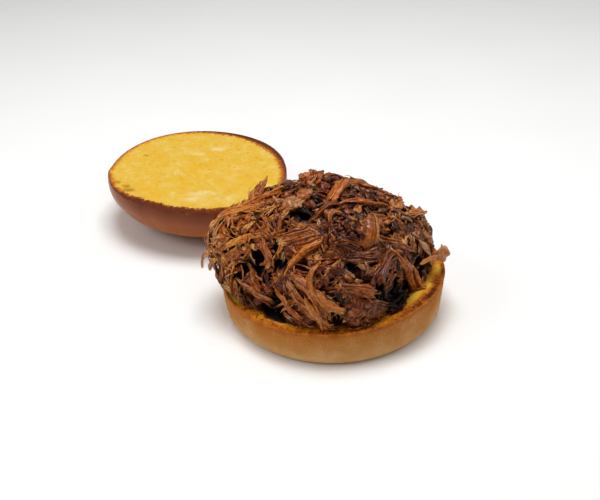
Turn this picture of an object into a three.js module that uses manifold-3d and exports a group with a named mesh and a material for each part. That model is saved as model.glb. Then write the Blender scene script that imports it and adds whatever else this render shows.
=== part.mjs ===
// Pulled pork sandwich, served open.
//
// Three solids make it: the heel (bottom half) of a round brioche bun, the crown (top half) turned
// over beside it, so that its cut face looks up, and a heap of shredded meat on the heel.
// Millimetres, +Z up. The origin is the middle of the heel's underside, and +X runs from the crown
// to the heel.

import * as THREE from 'three';
import { mergeVertices } from 'three/addons/utils/BufferGeometryUtils.js';
import Module from 'manifold-3d';

const wasm = await Module();
wasm.setup();

// ---------------------------------------------------------------------------
// Driving dimensions
// ---------------------------------------------------------------------------

const BUN_SPACING = 123.2; // from the crown's middle to the heel's middle
const SEGMENTS = 52; // round each bun half
const DEGREE = Math.PI / 180;
const GAP = 0.3; // between the meat and the bun

// The heel: a flat-bottomed disc, cut on a slight slant. Each wave is [count round the rim, depth,
// direction of a crest in degrees], and makes the outline a little less than round.
const HEEL_RADIUS = 56.3;
const HEEL_THICKNESS = 20;
const HEEL_SLANT_X = 0.0272;
const HEEL_SLANT_Y = 0.0454;
const HEEL_BASE_ROUND = 5.5;
const HEEL_LEAN = 1.2; // the wall leans out by this much on its way up
const HEEL_RIM_ROUND = 0.9;
const HEEL_WAVES = [
  [2, 1.25, 57.4],
  [3, 0.9, 73.3],
];

// The crown: a low dome standing on its own top, which has sat down to a small flat spot.
const CROWN_RADIUS = 54;
const CROWN_HEIGHT = 32;
const CROWN_POWER = 2.4; // of the superellipse that its side follows
const CROWN_FLAT_RADIUS = 12;
const CROWN_BULGE = 0.9; // the side swells by this much just under the cut
const CROWN_CRUST = 2.2; // width of the crust's rim round the cut face
const CROWN_CRUMB_DROP = 0.6; // the soft crumb has dried down below the crust's rim
const CROWN_WAVES = [
  [2, 1.83, 165.8],
  [3, 0.97, 6.3],
  [4, 0.64, 84.2],
];

// The heap of meat. Its directions are read from the serving side: azimuth 0 is to the right, -90 is
// toward the eater, and the polar angle is measured down from straight up. SERVING_TURN turns them
// to the row's own axes.
const SERVING_TURN = 51.66;
const HEAP_CENTRE = new THREE.Vector3(-0.6, -0.8, 20);
const HEAP_REACH = 48.5;
const HEAP_RISE = 42.5;
const HEAP_SINK = 9; // how far it would go on below the cut face; the bun cuts this off
const HEAP_POWER = 2.15;
const HEAP_DETAIL = 7;

// Each lump is [azimuth, polar, half-width in degrees, height in millimetres].
const HEAP_LUMPS = [
  [180, 70, 21, 15], // hangs over the heel's left rim
  [150, 50, 18, 3.5],
  [112, 20, 14, 3.5],
  [20, 14, 14, 2.5],
  [55, 50, 20, -1.5],
  [95, 60, 22, -4],
  [8, 62, 16, 5],
  [-28, 80, 15, -10], // hollow at the right of the foot
  [-62, 74, 14, 2.5],
  [-128, 76, 14, -5], // hollow at the left of the foot
  [-155, 80, 14, 1],
  [-100, 42, 10, -3],
  [-60, 34, 9, 3],
  [-144, 67, 7, -4], // small hollows between the clumps, all round
  [-126, 58, 7, -4],
  [-124, 83, 9, -4],
  [-128, 28, 7, -4],
  [-80, 56, 8, -5],
  [-55, 76, 10, -6],
  [-38, 43, 8, -4],
  [-67, 48, 6, -3],
  [100, 38, 9, -4],
  [128, 66, 9, -4],
  [52, 72, 9, -4],
];

// Shreds that show one by one: [azimuth, polar, heading, length, width, thickness, and how high the
// first end, the middle and the last end ride over the core]. The heading is 0 along the heap to the
// right and 90 straight up it.
const SHOWN_SHREDS = [
  [-114, 77, -19, 23, 5.5, 2.4, -1, 1, 2.5],
  [-100, 82, -66, 19, 5.5, 2.4, -0.5, 1.5, 3],
  [-93, 76, -32, 20, 4.5, 2.2, 0, 1.5, 3],
  [-111, 66, -34, 22, 5.5, 2.4, -1, 1.5, 2],
  [-96, 82, -64, 17, 3.2, 2, 0.5, 2, 2.5],
  [-112, 50, -122, 28, 3.6, 2.6, 0.5, 3, 1],
  [-110, 19, 49, 22, 2.6, 1.8, -0.5, 2, 1.5],
  [-23, 21, -55, 29, 2.6, 1.8, 1.5, 1.5, 2],
  [-125, 34, 0, 24, 2.8, 1.8, -1, 0.5, 1],
  [-57, 39, -122, 18, 8.5, 3.5, 0.5, 1.5, 0.5],
  [-2, 3, 158, 19, 7.5, 3.2, 2.5, 1.5, -0.5],
  [-171, 22, 104, 17, 8.5, 3.2, -0.5, 1, 1],
  [-123, 42, 37, 19, 10, 2.6, -1, 0, 0],
  [-25, 73, -63, 34, 4, 2.4, 1, 6, 5],
  [-59, 61, 33, 18, 4, 2, 0, 1.5, 0.5],
  [-81, 68, -8, 22, 5, 2.4, -0.5, 1.5, 1.5],
  [-72, 79, -28, 22, 5.5, 2.4, -0.5, 1.5, 2],
  [-80, 85, -39, 15, 7, 3, -0.5, 1, 1.5],
  [-73, 50, -11, 21, 5.5, 2.4, -0.5, 1, 1],
  [-92, 58, -9, 19, 3.6, 2, -0.5, 0.5, 0.5],
  [-142, 57, -42, 16, 3.6, 1.8, -1, 1, 1.5],
  [-141, 81, -11, 23, 4, 2, -0.5, 1, 1.5],
  [-145, 73, -44, 17, 3.2, 2, -0.5, 1, 1.5],
  [177, 56, 74, 19, 5, 2.4, 0.5, 1, 0.5],
  [-160, 59, 63, 19, 4.5, 2, 0, 0.5, 0],
  [-8, 72, -66, 28, 4, 2.2, -0.5, 1.5, 2.5],
  [-29, 86, -25, 28, 4.5, 2.6, 1.5, 5, 1.5],
  [-36, 52, -42, 22, 4.5, 2, -0.5, 1, 1],
  [-82, 41, -16, 17, 6, 2.4, -0.5, 1, 0.5],
  [28, 40, -119, 19, 5.5, 2.4, 1.5, 1.5, 1.5],
  [41, 27, -131, 18, 6, 2.6, 1.5, 2, 1],
  [169, 43, 110, 20, 5, 2.4, -0.5, 1.5, 1.5],
  [-4, 78, -14, 20, 3.4, 2.2, -1.5, 1.5, 9], // tongue that sticks out over the heel's right rim
  [6, 81, 70, 9, 6, 2.6, 7, 9, 9],
  [-178, 78, -52, 22, 2.8, 1.8, -1.5, 2.5, 8], // loose ends hanging past the heel's left rim
  [-171, 84, -60, 20, 2.6, 1.8, -1.5, 2.5, 7],
  [172, 45, 96, 15, 3.6, 2.2, 1, 6, 14], // ends that stand up
  [-178, 46, 110, 14, 3, 2, 0, 4, 11],
  [124, 24, 70, 15, 7, 3, 0.5, 4.5, 4],
  [88, 20, 12, 16, 7, 3, 2, 3, 1.5],
  [22, 52, 20, 15, 3.6, 2, -0.5, 1.5, 5],
  [48, 40, 60, 14, 3.4, 2, -0.5, 2, 5],
];

// The rest of the shreds lie by rule, one after the other on a spiral over the heap.
const SPREAD_SHREDS = 62;
const SPREAD_POLAR = [6, 88];
const SPREAD_LENGTH = [13, 26];
const SPREAD_WIDTH = [2.8, 5.6];
const SPREAD_THICKNESS = [1.7, 2.7];
const SPREAD_LIFT = [-1.2, 2];
const GOLDEN_ANGLE = 137.508;
const SHRED_STEPS = 4;
const SHRED_TIP = 0.3; // width of a shred's end as a share of its middle
const SEED = 1934;

// ---------------------------------------------------------------------------
// Helpers
// ---------------------------------------------------------------------------

let drawn = SEED;

/** Next number of a Park-Miller sequence, from 0 to 1. */
function draw() {
  drawn = (drawn * 16807) % 2147483647;
  return drawn / 2147483647;
}

/** A number drawn between the two ends of a range. */
function drawBetween([low, high]) {
  return low + (high - low) * draw();
}

/** Joins equal vertices and drops the triangles that this leaves without an area. */
function weld(geometry) {
  geometry.deleteAttribute('normal');
  geometry.deleteAttribute('uv');
  const merged = mergeVertices(geometry, 1e-3);
  const corners = merged.index.array;
  const kept = [];
  for (let i = 0; i < corners.length; i += 3) {
    const [a, b, c] = corners.slice(i, i + 3);
    if (a !== b && b !== c && c !== a) {
      kept.push(a, b, c);
    }
  }
  merged.setIndex(kept);
  return merged;
}

/** Moves every vertex of a geometry with a function of its position. */
function reshape(geometry, move) {
  const position = geometry.attributes.position;
  const point = new THREE.Vector3();
  for (let i = 0; i < position.count; i += 1) {
    point.fromBufferAttribute(position, i);
    move(point);
    position.setXYZ(i, point.x, point.y, point.z);
  }
  return geometry;
}

/** A closed geometry as a solid that can be joined and cut. */
function toSolid(geometry) {
  const welded = weld(geometry);
  const mesh = new wasm.Mesh({
    numProp: 3,
    vertProperties: new Float32Array(welded.attributes.position.array),
    triVerts: new Uint32Array(welded.index.array),
  });
  return new wasm.Manifold(mesh);
}

/** A solid as a geometry with shading normals. */
function toGeometry(solid) {
  const mesh = solid.getMesh();
  const geometry = new THREE.BufferGeometry();
  geometry.setAttribute('position', new THREE.BufferAttribute(mesh.vertProperties, 3));
  geometry.setIndex(new THREE.BufferAttribute(mesh.triVerts, 1));
  geometry.computeVertexNormals();
  return geometry;
}

/** A named piece in its own colour. */
function piece(name, geometry, color, roughness) {
  const material = new THREE.MeshStandardMaterial({ color, roughness, metalness: 0 });
  const mesh = new THREE.Mesh(geometry, material);
  mesh.name = name;
  return mesh;
}

// ---------------------------------------------------------------------------
// Bun halves
// ---------------------------------------------------------------------------

/** How far an outline stands out from its mean circle in one direction. */
function waveHeight(angle, waves) {
  let height = 0;
  for (const [count, depth, crest] of waves) {
    height += depth * Math.cos(count * (angle - crest * DEGREE));
  }
  return height;
}

/** Turns a profile round the Z axis, then gives it the outline's waves. */
function turnBunHalf(profile, radius, waves) {
  const points = profile.map(([x, z]) => new THREE.Vector2(x, z));
  const geometry = new THREE.LatheGeometry(points, SEGMENTS);
  geometry.rotateX(Math.PI / 2);
  return reshape(geometry, (point) => {
    const swell = 1 + waveHeight(Math.atan2(point.y, point.x), waves) / radius;
    point.x *= swell;
    point.y *= swell;
  });
}

/** Points of a quarter round from one point to another, leaving the first along X. */
function quarterRound([startX, startZ], [endX, endZ], steps) {
  const points = [];
  for (let i = 1; i <= steps; i += 1) {
    const turn = (i / steps) * 90 * DEGREE;
    const x = startX + (endX - startX) * Math.sin(turn);
    const z = startZ + (endZ - startZ) * (1 - Math.cos(turn));
    points.push([x, z]);
  }
  return points;
}

/** Height of the heel's cut face over a place on its underside. */
function heelTop(x, y) {
  return HEEL_THICKNESS + HEEL_SLANT_X * x + HEEL_SLANT_Y * y;
}

/** The heel, grown outward by a margin. */
function makeHeel(margin) {
  const rim = HEEL_RADIUS + margin;
  const foot = rim - HEEL_LEAN;
  const top = HEEL_THICKNESS + margin;
  const flat = foot - HEEL_BASE_ROUND;
  const profile = [
    [0, 0],
    [flat, 0],
    ...quarterRound([flat, 0], [foot, HEEL_BASE_ROUND], 4),
    [foot + HEEL_LEAN * 0.7, HEEL_THICKNESS * 0.6],
    [rim, top - HEEL_RIM_ROUND],
    [rim - HEEL_RIM_ROUND * 0.3, top - HEEL_RIM_ROUND * 0.3],
    [rim - HEEL_RIM_ROUND, top],
    [0, top],
  ];
  const geometry = turnBunHalf(profile, HEEL_RADIUS, HEEL_WAVES);
  return reshape(geometry, (point) => {
    const slant = heelTop(point.x, point.y) - HEEL_THICKNESS;
    point.z += slant * (point.z / top);
  });
}

/** Radius of the crown's side at a height over what it stands on. */
function crownSide(height) {
  const flatShare = 1 - (CROWN_FLAT_RADIUS / CROWN_RADIUS) ** CROWN_POWER;
  const fullDepth = CROWN_HEIGHT / flatShare ** (1 / CROWN_POWER);
  const depth = (CROWN_HEIGHT - height) / fullDepth;
  const swell = CROWN_BULGE * Math.sin(Math.min(depth * 2, 1) * Math.PI);
  return CROWN_RADIUS * (1 - depth ** CROWN_POWER) ** (1 / CROWN_POWER) + swell;
}

/** The crown, dome down. */
function makeCrown() {
  const rim = CROWN_RADIUS;
  const crumb = CROWN_HEIGHT - CROWN_CRUMB_DROP;
  const profile = [[0, 0]];
  const steps = 9;
  for (let i = 0; i <= steps; i += 1) {
    const height = CROWN_HEIGHT * (1 - Math.cos((i / steps) * 90 * DEGREE));
    profile.push([crownSide(height), height]);
  }
  profile.push([rim - CROWN_CRUST * 0.6, CROWN_HEIGHT]);
  profile.push([rim - CROWN_CRUST, crumb]);
  profile.push([0, crumb]);
  return turnBunHalf(profile, CROWN_RADIUS, CROWN_WAVES);
}

// ---------------------------------------------------------------------------
// Heap of meat
// ---------------------------------------------------------------------------

/** Unit vector to an azimuth and polar angle as read from the serving side. */
function heapDirection(azimuth, polar) {
  const turn = (azimuth + SERVING_TURN) * DEGREE;
  const down = polar * DEGREE;
  const level = Math.sin(down);
  return new THREE.Vector3(level * Math.cos(turn), level * Math.sin(turn), Math.cos(down));
}

const LUMP_DIRECTIONS = HEAP_LUMPS.map(([azimuth, polar]) => heapDirection(azimuth, polar));

/** Distance from the heap's centre to the core's surface in one direction. */
function heapRadius(direction) {
  const level = Math.hypot(direction.x, direction.y) / HEAP_REACH;
  const upright = Math.abs(direction.z) / (direction.z > 0 ? HEAP_RISE : HEAP_SINK);
  let radius = (level ** HEAP_POWER + upright ** HEAP_POWER) ** (-1 / HEAP_POWER);
  HEAP_LUMPS.forEach(([, , spread, height], i) => {
    const away = direction.angleTo(LUMP_DIRECTIONS[i]) / (spread * DEGREE);
    radius += height * Math.exp(-away * away);
  });
  return radius;
}

/** The core under the shreds. */
function makeCore() {
  const geometry = new THREE.IcosahedronGeometry(1, HEAP_DETAIL);
  return reshape(geometry, (point) => {
    const direction = point.clone().normalize();
    point.copy(direction).multiplyScalar(heapRadius(direction)).add(HEAP_CENTRE);
  });
}

/** A shred: a flat strip laid over the heap along a great circle, narrower at its ends. */
function makeShred([azimuth, polar, heading, length, width, thickness, first, middle, last]) {
  const centre = heapDirection(azimuth, polar);
  const right = heapDirection(azimuth + 90, 90);
  const up = centre.clone().cross(right);
  const along = right.multiplyScalar(Math.cos(heading * DEGREE));
  along.addScaledVector(up, Math.sin(heading * DEGREE));
  const reach = length / heapRadius(centre);

  const pointAt = (share) => {
    const turn = (share - 0.5) * reach;
    const direction = centre.clone().multiplyScalar(Math.cos(turn));
    direction.addScaledVector(along, Math.sin(turn));
    const bow = 4 * share * (1 - share);
    const lift = THREE.MathUtils.lerp(first, last, share) + (middle - (first + last) / 2) * bow;
    return direction.multiplyScalar(heapRadius(direction) + lift).add(HEAP_CENTRE);
  };

  const geometry = new THREE.BoxGeometry(1, 1, 1, SHRED_STEPS, 1, 1);
  return reshape(geometry, (point) => {
    const share = point.x + 0.5;
    const place = pointAt(share);
    const ahead = pointAt(share + 0.01).sub(pointAt(share - 0.01)).normalize();
    const out = place.clone().sub(HEAP_CENTRE).normalize();
    const side = out.cross(ahead).normalize();
    const normal = ahead.cross(side);
    const taper = 1 - (1 - SHRED_TIP) * Math.abs(2 * share - 1) ** 3;
    const across = point.y * width * taper;
    const deep = point.z * thickness * taper;
    point.copy(place).addScaledVector(side, across).addScaledVector(normal, deep);
  });
}

/** Shreds laid on a spiral from the top of the heap to its foot. */
function spreadShreds() {
  const top = Math.cos(SPREAD_POLAR[0] * DEGREE);
  const foot = Math.cos(SPREAD_POLAR[1] * DEGREE);
  const shreds = [];
  for (let i = 0; i < SPREAD_SHREDS; i += 1) {
    const share = (i + 0.5) / SPREAD_SHREDS;
    const polar = Math.acos(top + (foot - top) * share) / DEGREE;
    const azimuth = i * GOLDEN_ANGLE;
    const heading = 360 * draw();
    const length = drawBetween(SPREAD_LENGTH);
    const width = drawBetween(SPREAD_WIDTH);
    const thickness = drawBetween(SPREAD_THICKNESS);
    const first = drawBetween(SPREAD_LIFT);
    const last = drawBetween(SPREAD_LIFT);
    const middle = 0.8 + (first + last) / 2;
    shreds.push([azimuth, polar, heading, length, width, thickness, first, middle, last]);
  }
  return shreds;
}

/** The whole heap as one solid, cut off by the heel, without loose scraps or sealed hollows. */
function makeHeap() {
  const shreds = [...SHOWN_SHREDS, ...spreadShreds()].map((shred) => toSolid(makeShred(shred)));
  const joined = wasm.Manifold.union([toSolid(makeCore()), ...shreds]);
  const resting = joined.subtract(toSolid(makeHeel(GAP)));
  const parts = toSolid(toGeometry(resting)).decompose();
  parts.sort((a, b) => b.volume() - a.volume());
  return toGeometry(parts[0]);
}

// ---------------------------------------------------------------------------
// Assembly
// ---------------------------------------------------------------------------

const heel = piece('heel', makeHeel(0), '#c08a4e', 0.7);
const crown = piece('crown', makeCrown(), '#b0672c', 0.5);
crown.position.set(-BUN_SPACING, 0, 0);
const porkHeap = piece('pork_heap', makeHeap(), '#74401f', 0.45);

const sandwich = new THREE.Group();
sandwich.add(heel, crown, porkHeap);

export default sandwich;
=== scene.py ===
# %% [markdown]
# # An open pulled pork sandwich
# A round brioche bun lies open: a heap of saucy shredded pork on the heel, and the crown turned over
# beside it. The CAD model has the true sizes and plain solids. This lesson dresses it: baked crust,
# soft crumb, and over a thousand shreds of meat that are laid one on the other, as a cook drops them.

# %% Load the plain model
from itertools import product

import bmesh
import bpy
import numpy as np
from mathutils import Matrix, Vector


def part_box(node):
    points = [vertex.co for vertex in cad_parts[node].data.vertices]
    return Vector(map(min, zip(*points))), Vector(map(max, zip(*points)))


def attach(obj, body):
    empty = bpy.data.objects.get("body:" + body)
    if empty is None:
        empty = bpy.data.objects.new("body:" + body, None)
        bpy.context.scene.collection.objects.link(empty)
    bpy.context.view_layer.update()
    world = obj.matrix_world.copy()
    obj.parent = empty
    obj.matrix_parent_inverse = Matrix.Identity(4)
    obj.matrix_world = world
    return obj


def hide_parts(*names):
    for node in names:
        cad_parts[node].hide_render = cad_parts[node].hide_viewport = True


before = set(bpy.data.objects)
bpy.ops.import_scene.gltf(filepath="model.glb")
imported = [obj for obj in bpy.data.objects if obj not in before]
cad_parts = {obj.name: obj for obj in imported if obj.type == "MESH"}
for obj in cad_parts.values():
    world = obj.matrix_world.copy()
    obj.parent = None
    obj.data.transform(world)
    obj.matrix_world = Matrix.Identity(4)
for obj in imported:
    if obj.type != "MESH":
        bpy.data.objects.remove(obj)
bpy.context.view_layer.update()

# %% [markdown]
# ## Units and colours
# Blender works in metres, and a cook thinks in millimetres, so every size below is in millimetres and
# is multiplied by MM where it reaches Blender. Colours are picked as sRGB hex values, the way a
# screen shows them. Shaders count light itself, so one function turns a hex value to linear light.

# %% Units and colours
MM = 0.001


def paint(hex_value):
    """Linear RGBA of an sRGB hex value."""
    shares = [int(hex_value[i:i + 2], 16) / 255 for i in (1, 3, 5)]
    linear = [s / 12.92 if s <= 0.04045 else ((s + 0.055) / 1.055) ** 2.4 for s in shares]
    return (*linear, 1.0)


# %% [markdown]
# ## The camera
# The sandwich is seen from above its front corner, about 31 degrees over the table. A 57 mm lens on
# a 36 mm sensor gives the mild perspective of a close snapshot. Depth of field stays off, so that the
# whole sandwich is sharp.

# %% Place the camera
CAMERA_PLACE = Vector((0.3145, -0.2701, 0.2794))
CAMERA_TARGET = Vector((-0.05341, 0.02097, 0.0))

camera_data = bpy.data.cameras.new("camera")
camera_data.lens = 57.0
camera_data.sensor_width = 36.0
camera_data.clip_start = 0.01
camera = bpy.data.objects.new("camera", camera_data)
camera.location = CAMERA_PLACE
camera.rotation_euler = (CAMERA_TARGET - CAMERA_PLACE).to_track_quat("-Z", "Y").to_euler()
bpy.context.scene.collection.objects.link(camera)
bpy.context.scene.camera = camera
print("camera", round((CAMERA_TARGET - CAMERA_PLACE).length, 3), "m from its target")

# %% [markdown]
# ## Shader nodes
# A material here is a small tree of nodes: patterns, colour ramps and sums that end in one
# Principled shader. One function adds any node, sets its options, and fills its sockets with either a
# plain value or the output of an earlier node, so that a material reads from top to bottom.

# %% A helper that adds a node


def add_node(tree, kind, sockets=(), stops=(), **settings):
    """Adds one shader node. A socket gets a plain value, an output, or a node's first live output."""
    made = tree.nodes.new("ShaderNode" + kind)
    for name, value in settings.items():
        setattr(made, name, value)
    for name, value in dict(sockets).items():
        match = [s for s in made.inputs if name in (s.identifier, s.name) and s.enabled]
        socket = made.inputs[name] if isinstance(name, int) else match[0]
        if isinstance(value, bpy.types.Node):
            value = next(s for s in value.outputs if s.enabled)
        if isinstance(value, bpy.types.NodeSocket):
            tree.links.new(value, socket)
        else:
            socket.default_value = value
    for i, (place, color) in enumerate(stops):
        elements = made.color_ramp.elements
        stop = elements[i] if i < 2 else elements.new(place)
        stop.position = place
        stop.color = color
    return made


def start_material(name):
    """An empty material, with its tree."""
    material = bpy.data.materials.new(name)
    material.use_nodes = True
    material.node_tree.nodes.clear()
    print("material:", name)
    return material, material.node_tree


# %% [markdown]
# ## The table and the light
# Food is lit softly. A wide softbox hangs over it, so that the tops of the shreds shine and the gaps
# between them stay dark. A weaker lamp on the left fills the front, one from behind picks out the wet
# edges, and a pale sky lifts the shadows. The table is plain matt off-white and isn't part of the
# sandwich.

# %% Table, lamps and sky
TABLE_REACH = 2.5  # metres from its middle, so that its edge stays out of sight
SKY_STRENGTH = 0.3

table_material, tree = start_material("matt_white_laminate")
grit = add_node(tree, "TexNoise", {"Scale": 60.0, "Detail": 1.0})
shade = add_node(tree, "ValToRGB", {"Fac": grit}, [(0.3, paint("#f8f8f7")), (0.7, paint("#fafaf9"))])
surface = add_node(tree, "BsdfPrincipled", {"Base Color": shade, "Roughness": 0.7, "IOR": 1.45})
add_node(tree, "OutputMaterial", {"Surface": surface})

table_mesh = bpy.data.meshes.new("table")
table_shape = bmesh.new()
bmesh.ops.create_grid(table_shape, x_segments=8, y_segments=8, size=TABLE_REACH)
table_shape.to_mesh(table_mesh)
table_shape.free()
table_mesh.materials.append(table_material)
table = bpy.data.objects.new("table", table_mesh)
bpy.context.scene.collection.objects.link(table)


def add_lamp(name, place, aim, size, watts):
    """A square area lamp that faces a point."""
    data = bpy.data.lights.new(name, "AREA")
    data.shape = "SQUARE"
    data.size = size
    data.energy = watts
    lamp = bpy.data.objects.new(name, data)
    lamp.location = place
    lamp.rotation_euler = (Vector(aim) - Vector(place)).to_track_quat("-Z", "Y").to_euler()
    bpy.context.scene.collection.objects.link(lamp)


add_lamp("softbox", (-0.08, 0.02, 0.8), (-0.05, 0, 0.02), size=0.42, watts=4.8)
add_lamp("window", (-0.2, -0.6, 0.5), (-0.03, 0, 0.03), size=0.35, watts=1.2)
add_lamp("back_light", (0.3, 0.7, 0.5), (0, 0, 0.04), size=0.3, watts=1.0)
sky = bpy.data.worlds.new("studio")
sky.use_nodes = True
sky.node_tree.nodes["Background"].inputs["Color"].default_value = (1.0, 1.0, 1.0, 1.0)
sky.node_tree.nodes["Background"].inputs["Strength"].default_value = SKY_STRENGTH
bpy.context.scene.world = sky
bpy.context.scene.view_settings.view_transform = "Standard"

# %% [markdown]
# ## From arrays to a mesh
# Every piece is worked out as arrays of points with numpy, which handles a hundred thousand points in
# a moment. One function turns points and faces to a mesh. It also stores attributes: a number or a
# vector for each point, such as how burnt the crust is there, which the shader reads back.

# %% Helpers that build a mesh


def build_piece(name, points, face_sets, material, slot, nodes, **attributes):
    """Makes an object from points in millimetres and faces, which replaces nodes of the plain model."""
    mesh = bpy.data.meshes.new(name)
    mesh.vertices.add(len(points))
    mesh.vertices.foreach_set("co", (points * MM).astype(np.float32).ravel())
    corners = np.concatenate([faces.ravel() for faces in face_sets])
    sizes = np.concatenate([np.full(len(faces), faces.shape[1]) for faces in face_sets])
    mesh.loops.add(len(corners))
    mesh.loops.foreach_set("vertex_index", corners.astype(np.int32))
    mesh.polygons.add(len(sizes))
    mesh.polygons.foreach_set("loop_start", (np.cumsum(sizes) - sizes).astype(np.int32))
    mesh.update(calc_edges=True)
    mesh.validate()
    mesh.shade_smooth()
    for label, values in attributes.items():
        kind, field = ("FLOAT", "value") if values.ndim == 1 else ("FLOAT_VECTOR", "vector")
        stored = mesh.attributes.new(label, kind, "POINT")
        stored.data.foreach_set(field, values.astype(np.float32).ravel())
    mesh.materials.append(material)
    piece = bpy.data.objects.new(name, mesh)
    bpy.context.scene.collection.objects.link(piece)
    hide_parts(*nodes)
    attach(piece, "root")
    triangles = int((sizes - 2).sum())
    print(f"{name}: {triangles} triangles")


def blobs(points, size, seed):
    """Smooth noise from -1 to 1 at each point, in blobs about `size` millimetres across."""
    spot = points / size + 17.3 * seed
    cell = np.floor(spot)
    share = spot - cell
    share = share * share * (3 - 2 * share)
    total = np.zeros(points.shape[:-1])
    for corner in product((0, 1), repeat=3):
        # The far digits of a sine look random, but stay the same from run to run.
        key = (cell + corner) @ np.array([127.1, 311.7, 74.7])
        value = np.sin(key) * 43758.5453
        weight = np.prod(np.where(corner, share, 1 - share), axis=-1)
        total += weight * (2 * (value - np.floor(value)) - 1)
    return total


def ramp(values, start, end):
    """0 before start, 1 after end, and a smooth rise between them."""
    share = np.clip((values - start) / (end - start), 0, 1)
    return share * share * (3 - 2 * share)


def rumple(points, size, depth, seed):
    """Pushes points about by smooth noise in blobs about `size` millimetres across."""
    return points + depth * np.stack([blobs(points, size, seed + i) for i in range(3)], -1)


def tube_faces(rings, around, count=1):
    """Faces of closed tubes whose points are stored ring by ring, and then the middles of both ends."""
    here = np.arange(around)
    following = (here + 1) % around
    ring = np.arange(rings - 1)[:, None] * around
    quads = np.stack([ring + here, ring + following, ring + around + following, ring + around + here], -1)
    last = (rings - 1) * around
    first_fan = np.stack([np.full(around, rings * around), following, here], -1)
    last_fan = np.stack([last + here, last + following, np.full(around, rings * around + 1)], -1)
    fans = np.concatenate([first_fan, last_fan])
    start = np.arange(count)[:, None, None] * (rings * around + 2)
    return (quads.reshape(1, -1, 4) + start).reshape(-1, 4), (fans[None] + start).reshape(-1, 3)


# %% [markdown]
# ## The bun halves as turned shapes
# A bun is a ball of dough that rose and spread on a tin, so both halves are nearly turned shapes. Each
# is a profile swept round the middle, and slow waves make the outline a little less than round. The
# points then move in and out for pores, tears and the wrinkled crust. Much differs from side to side, so
# one function says how far each direction round the bun faces a given side.

# %% Outline and sweep
AROUND = 360  # points round each bun half
FACE_STEP = 0.6  # between the rings of a cut face
UNDERSIDE = -60.0  # places under a bun half count as this far inside its cut edge
SERVING_TURN = 51.66  # degrees from the X axis to the right-hand side, as the eater sees it
turns = np.linspace(0, 2 * np.pi, AROUND, endpoint=False)
circle = np.stack([np.cos(turns), np.sin(turns), np.zeros(AROUND)], -1)


def facing(side, width, power=2):
    """1 on one side of a bun half, falling to 0 over a width, both in degrees. More power: steeper."""
    gap = np.abs((np.degrees(turns) - side + 180) % 360 - 180)
    return np.exp(-(gap / width) ** power)


def outline_waves(turn, waves):
    """How far the outline stands out from its mean circle. A wave is (count, depth, crest)."""
    return sum(depth * np.cos(count * (turn - np.radians(crest))) for count, depth, crest in waves)


def close_ends(rings):
    """Flat list of what each ring point has, then the means of the first and the last ring."""
    return np.concatenate([rings.reshape(-1, *rings.shape[2:]), rings[:1].mean(1), rings[-1:].mean(1)])


def build_half(name, rings, middle, material, slot, node, **attributes):
    """Makes a bun half of its rings, with attributes that have one value for each ring point."""
    ended = {label: close_ends(values) for label, values in attributes.items()}
    faces = tube_faces(len(rings), AROUND)
    build_piece(name, close_ends(rings) + middle, faces, material, slot, [node], **ended)


def along_and_off(points, x, y, turn):
    """How far points lie from (x, y) in a direction over the table, and how far to the left of it."""
    rightward, forward = points[..., 0] - x, points[..., 1] - y
    along = rightward * np.cos(turn) + forward * np.sin(turn)
    return along, forward * np.cos(turn) - rightward * np.sin(turn)


# %% [markdown]
# ## The crown
# The crown is the top half of the bun, turned over. Its outside was brushed with egg before baking and
# is thin, red-brown and slightly shiny. The cut face is yellow crumb, soft and full of fine pores.
# Where the knife left the bun the crust has torn, so the near edge is wide, dark and ragged. On the
# far right the cut crust is a broad brown band. The profile goes up the dome, over the rim and in
# across the crumb.

# %% Sizes of the crown
CROWN_MIDDLE = np.array([-123.2, 0.0, 0.0])
CROWN_RADIUS = 54.0
CROWN_HEIGHT = 32.0
CROWN_POWER = 2.4  # how square the side of the dome is; 2 would be round
CROWN_FLAT_RADIUS = 12.0  # where the dome stands on the table
CROWN_BULGE = 0.9  # how far the side swells halfway up
CROWN_WAVES = [(2, 1.83, 165.8), (3, 0.97, 6.3), (4, 0.64, 84.2)]  # (count, depth, crest in degrees)
# Sides of the crown: (direction, half-width in degrees).
CROWN_TORN_SIDE = (-52.0, 42)  # where the crust tore
CROWN_BROAD_SIDE = (68.0, 45)  # where the crust was cut through at a flat angle
CROWN_DARK_SIDE = (106.0, 40)  # where the cut crust is widest and darkest
CROWN_CORNER_SIDE = (-124.0, 6)  # where the knife came out and left a small corner
CROWN_CORNER_DEPTH = 1.0
CRUST_WIDTH = 2.5


def crown_side(height):
    """Radius of the dome's side at a height over the table."""
    flat_share = 1 - (CROWN_FLAT_RADIUS / CROWN_RADIUS) ** CROWN_POWER
    full_depth = CROWN_HEIGHT / flat_share ** (1 / CROWN_POWER)
    depth = (CROWN_HEIGHT - height) / full_depth
    swell = CROWN_BULGE * np.sin(np.minimum(depth * 2, 1) * np.pi)
    return CROWN_RADIUS * (1 - depth ** CROWN_POWER) ** (1 / CROWN_POWER) + swell


# %% The crown's rings
torn = facing(*CROWN_TORN_SIDE, power=4)
broad = facing(*CROWN_BROAD_SIDE)
dark_band = facing(*CROWN_DARK_SIDE)
tear = blobs(circle * CROWN_RADIUS, 1.7, 1) + 0.5 * blobs(circle * CROWN_RADIUS, 5.5, 2)
crust_width = CRUST_WIDTH + 2.1 * torn + 2.0 * broad + 1.6 * dark_band + (0.4 + 1.1 * torn) * tear

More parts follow.
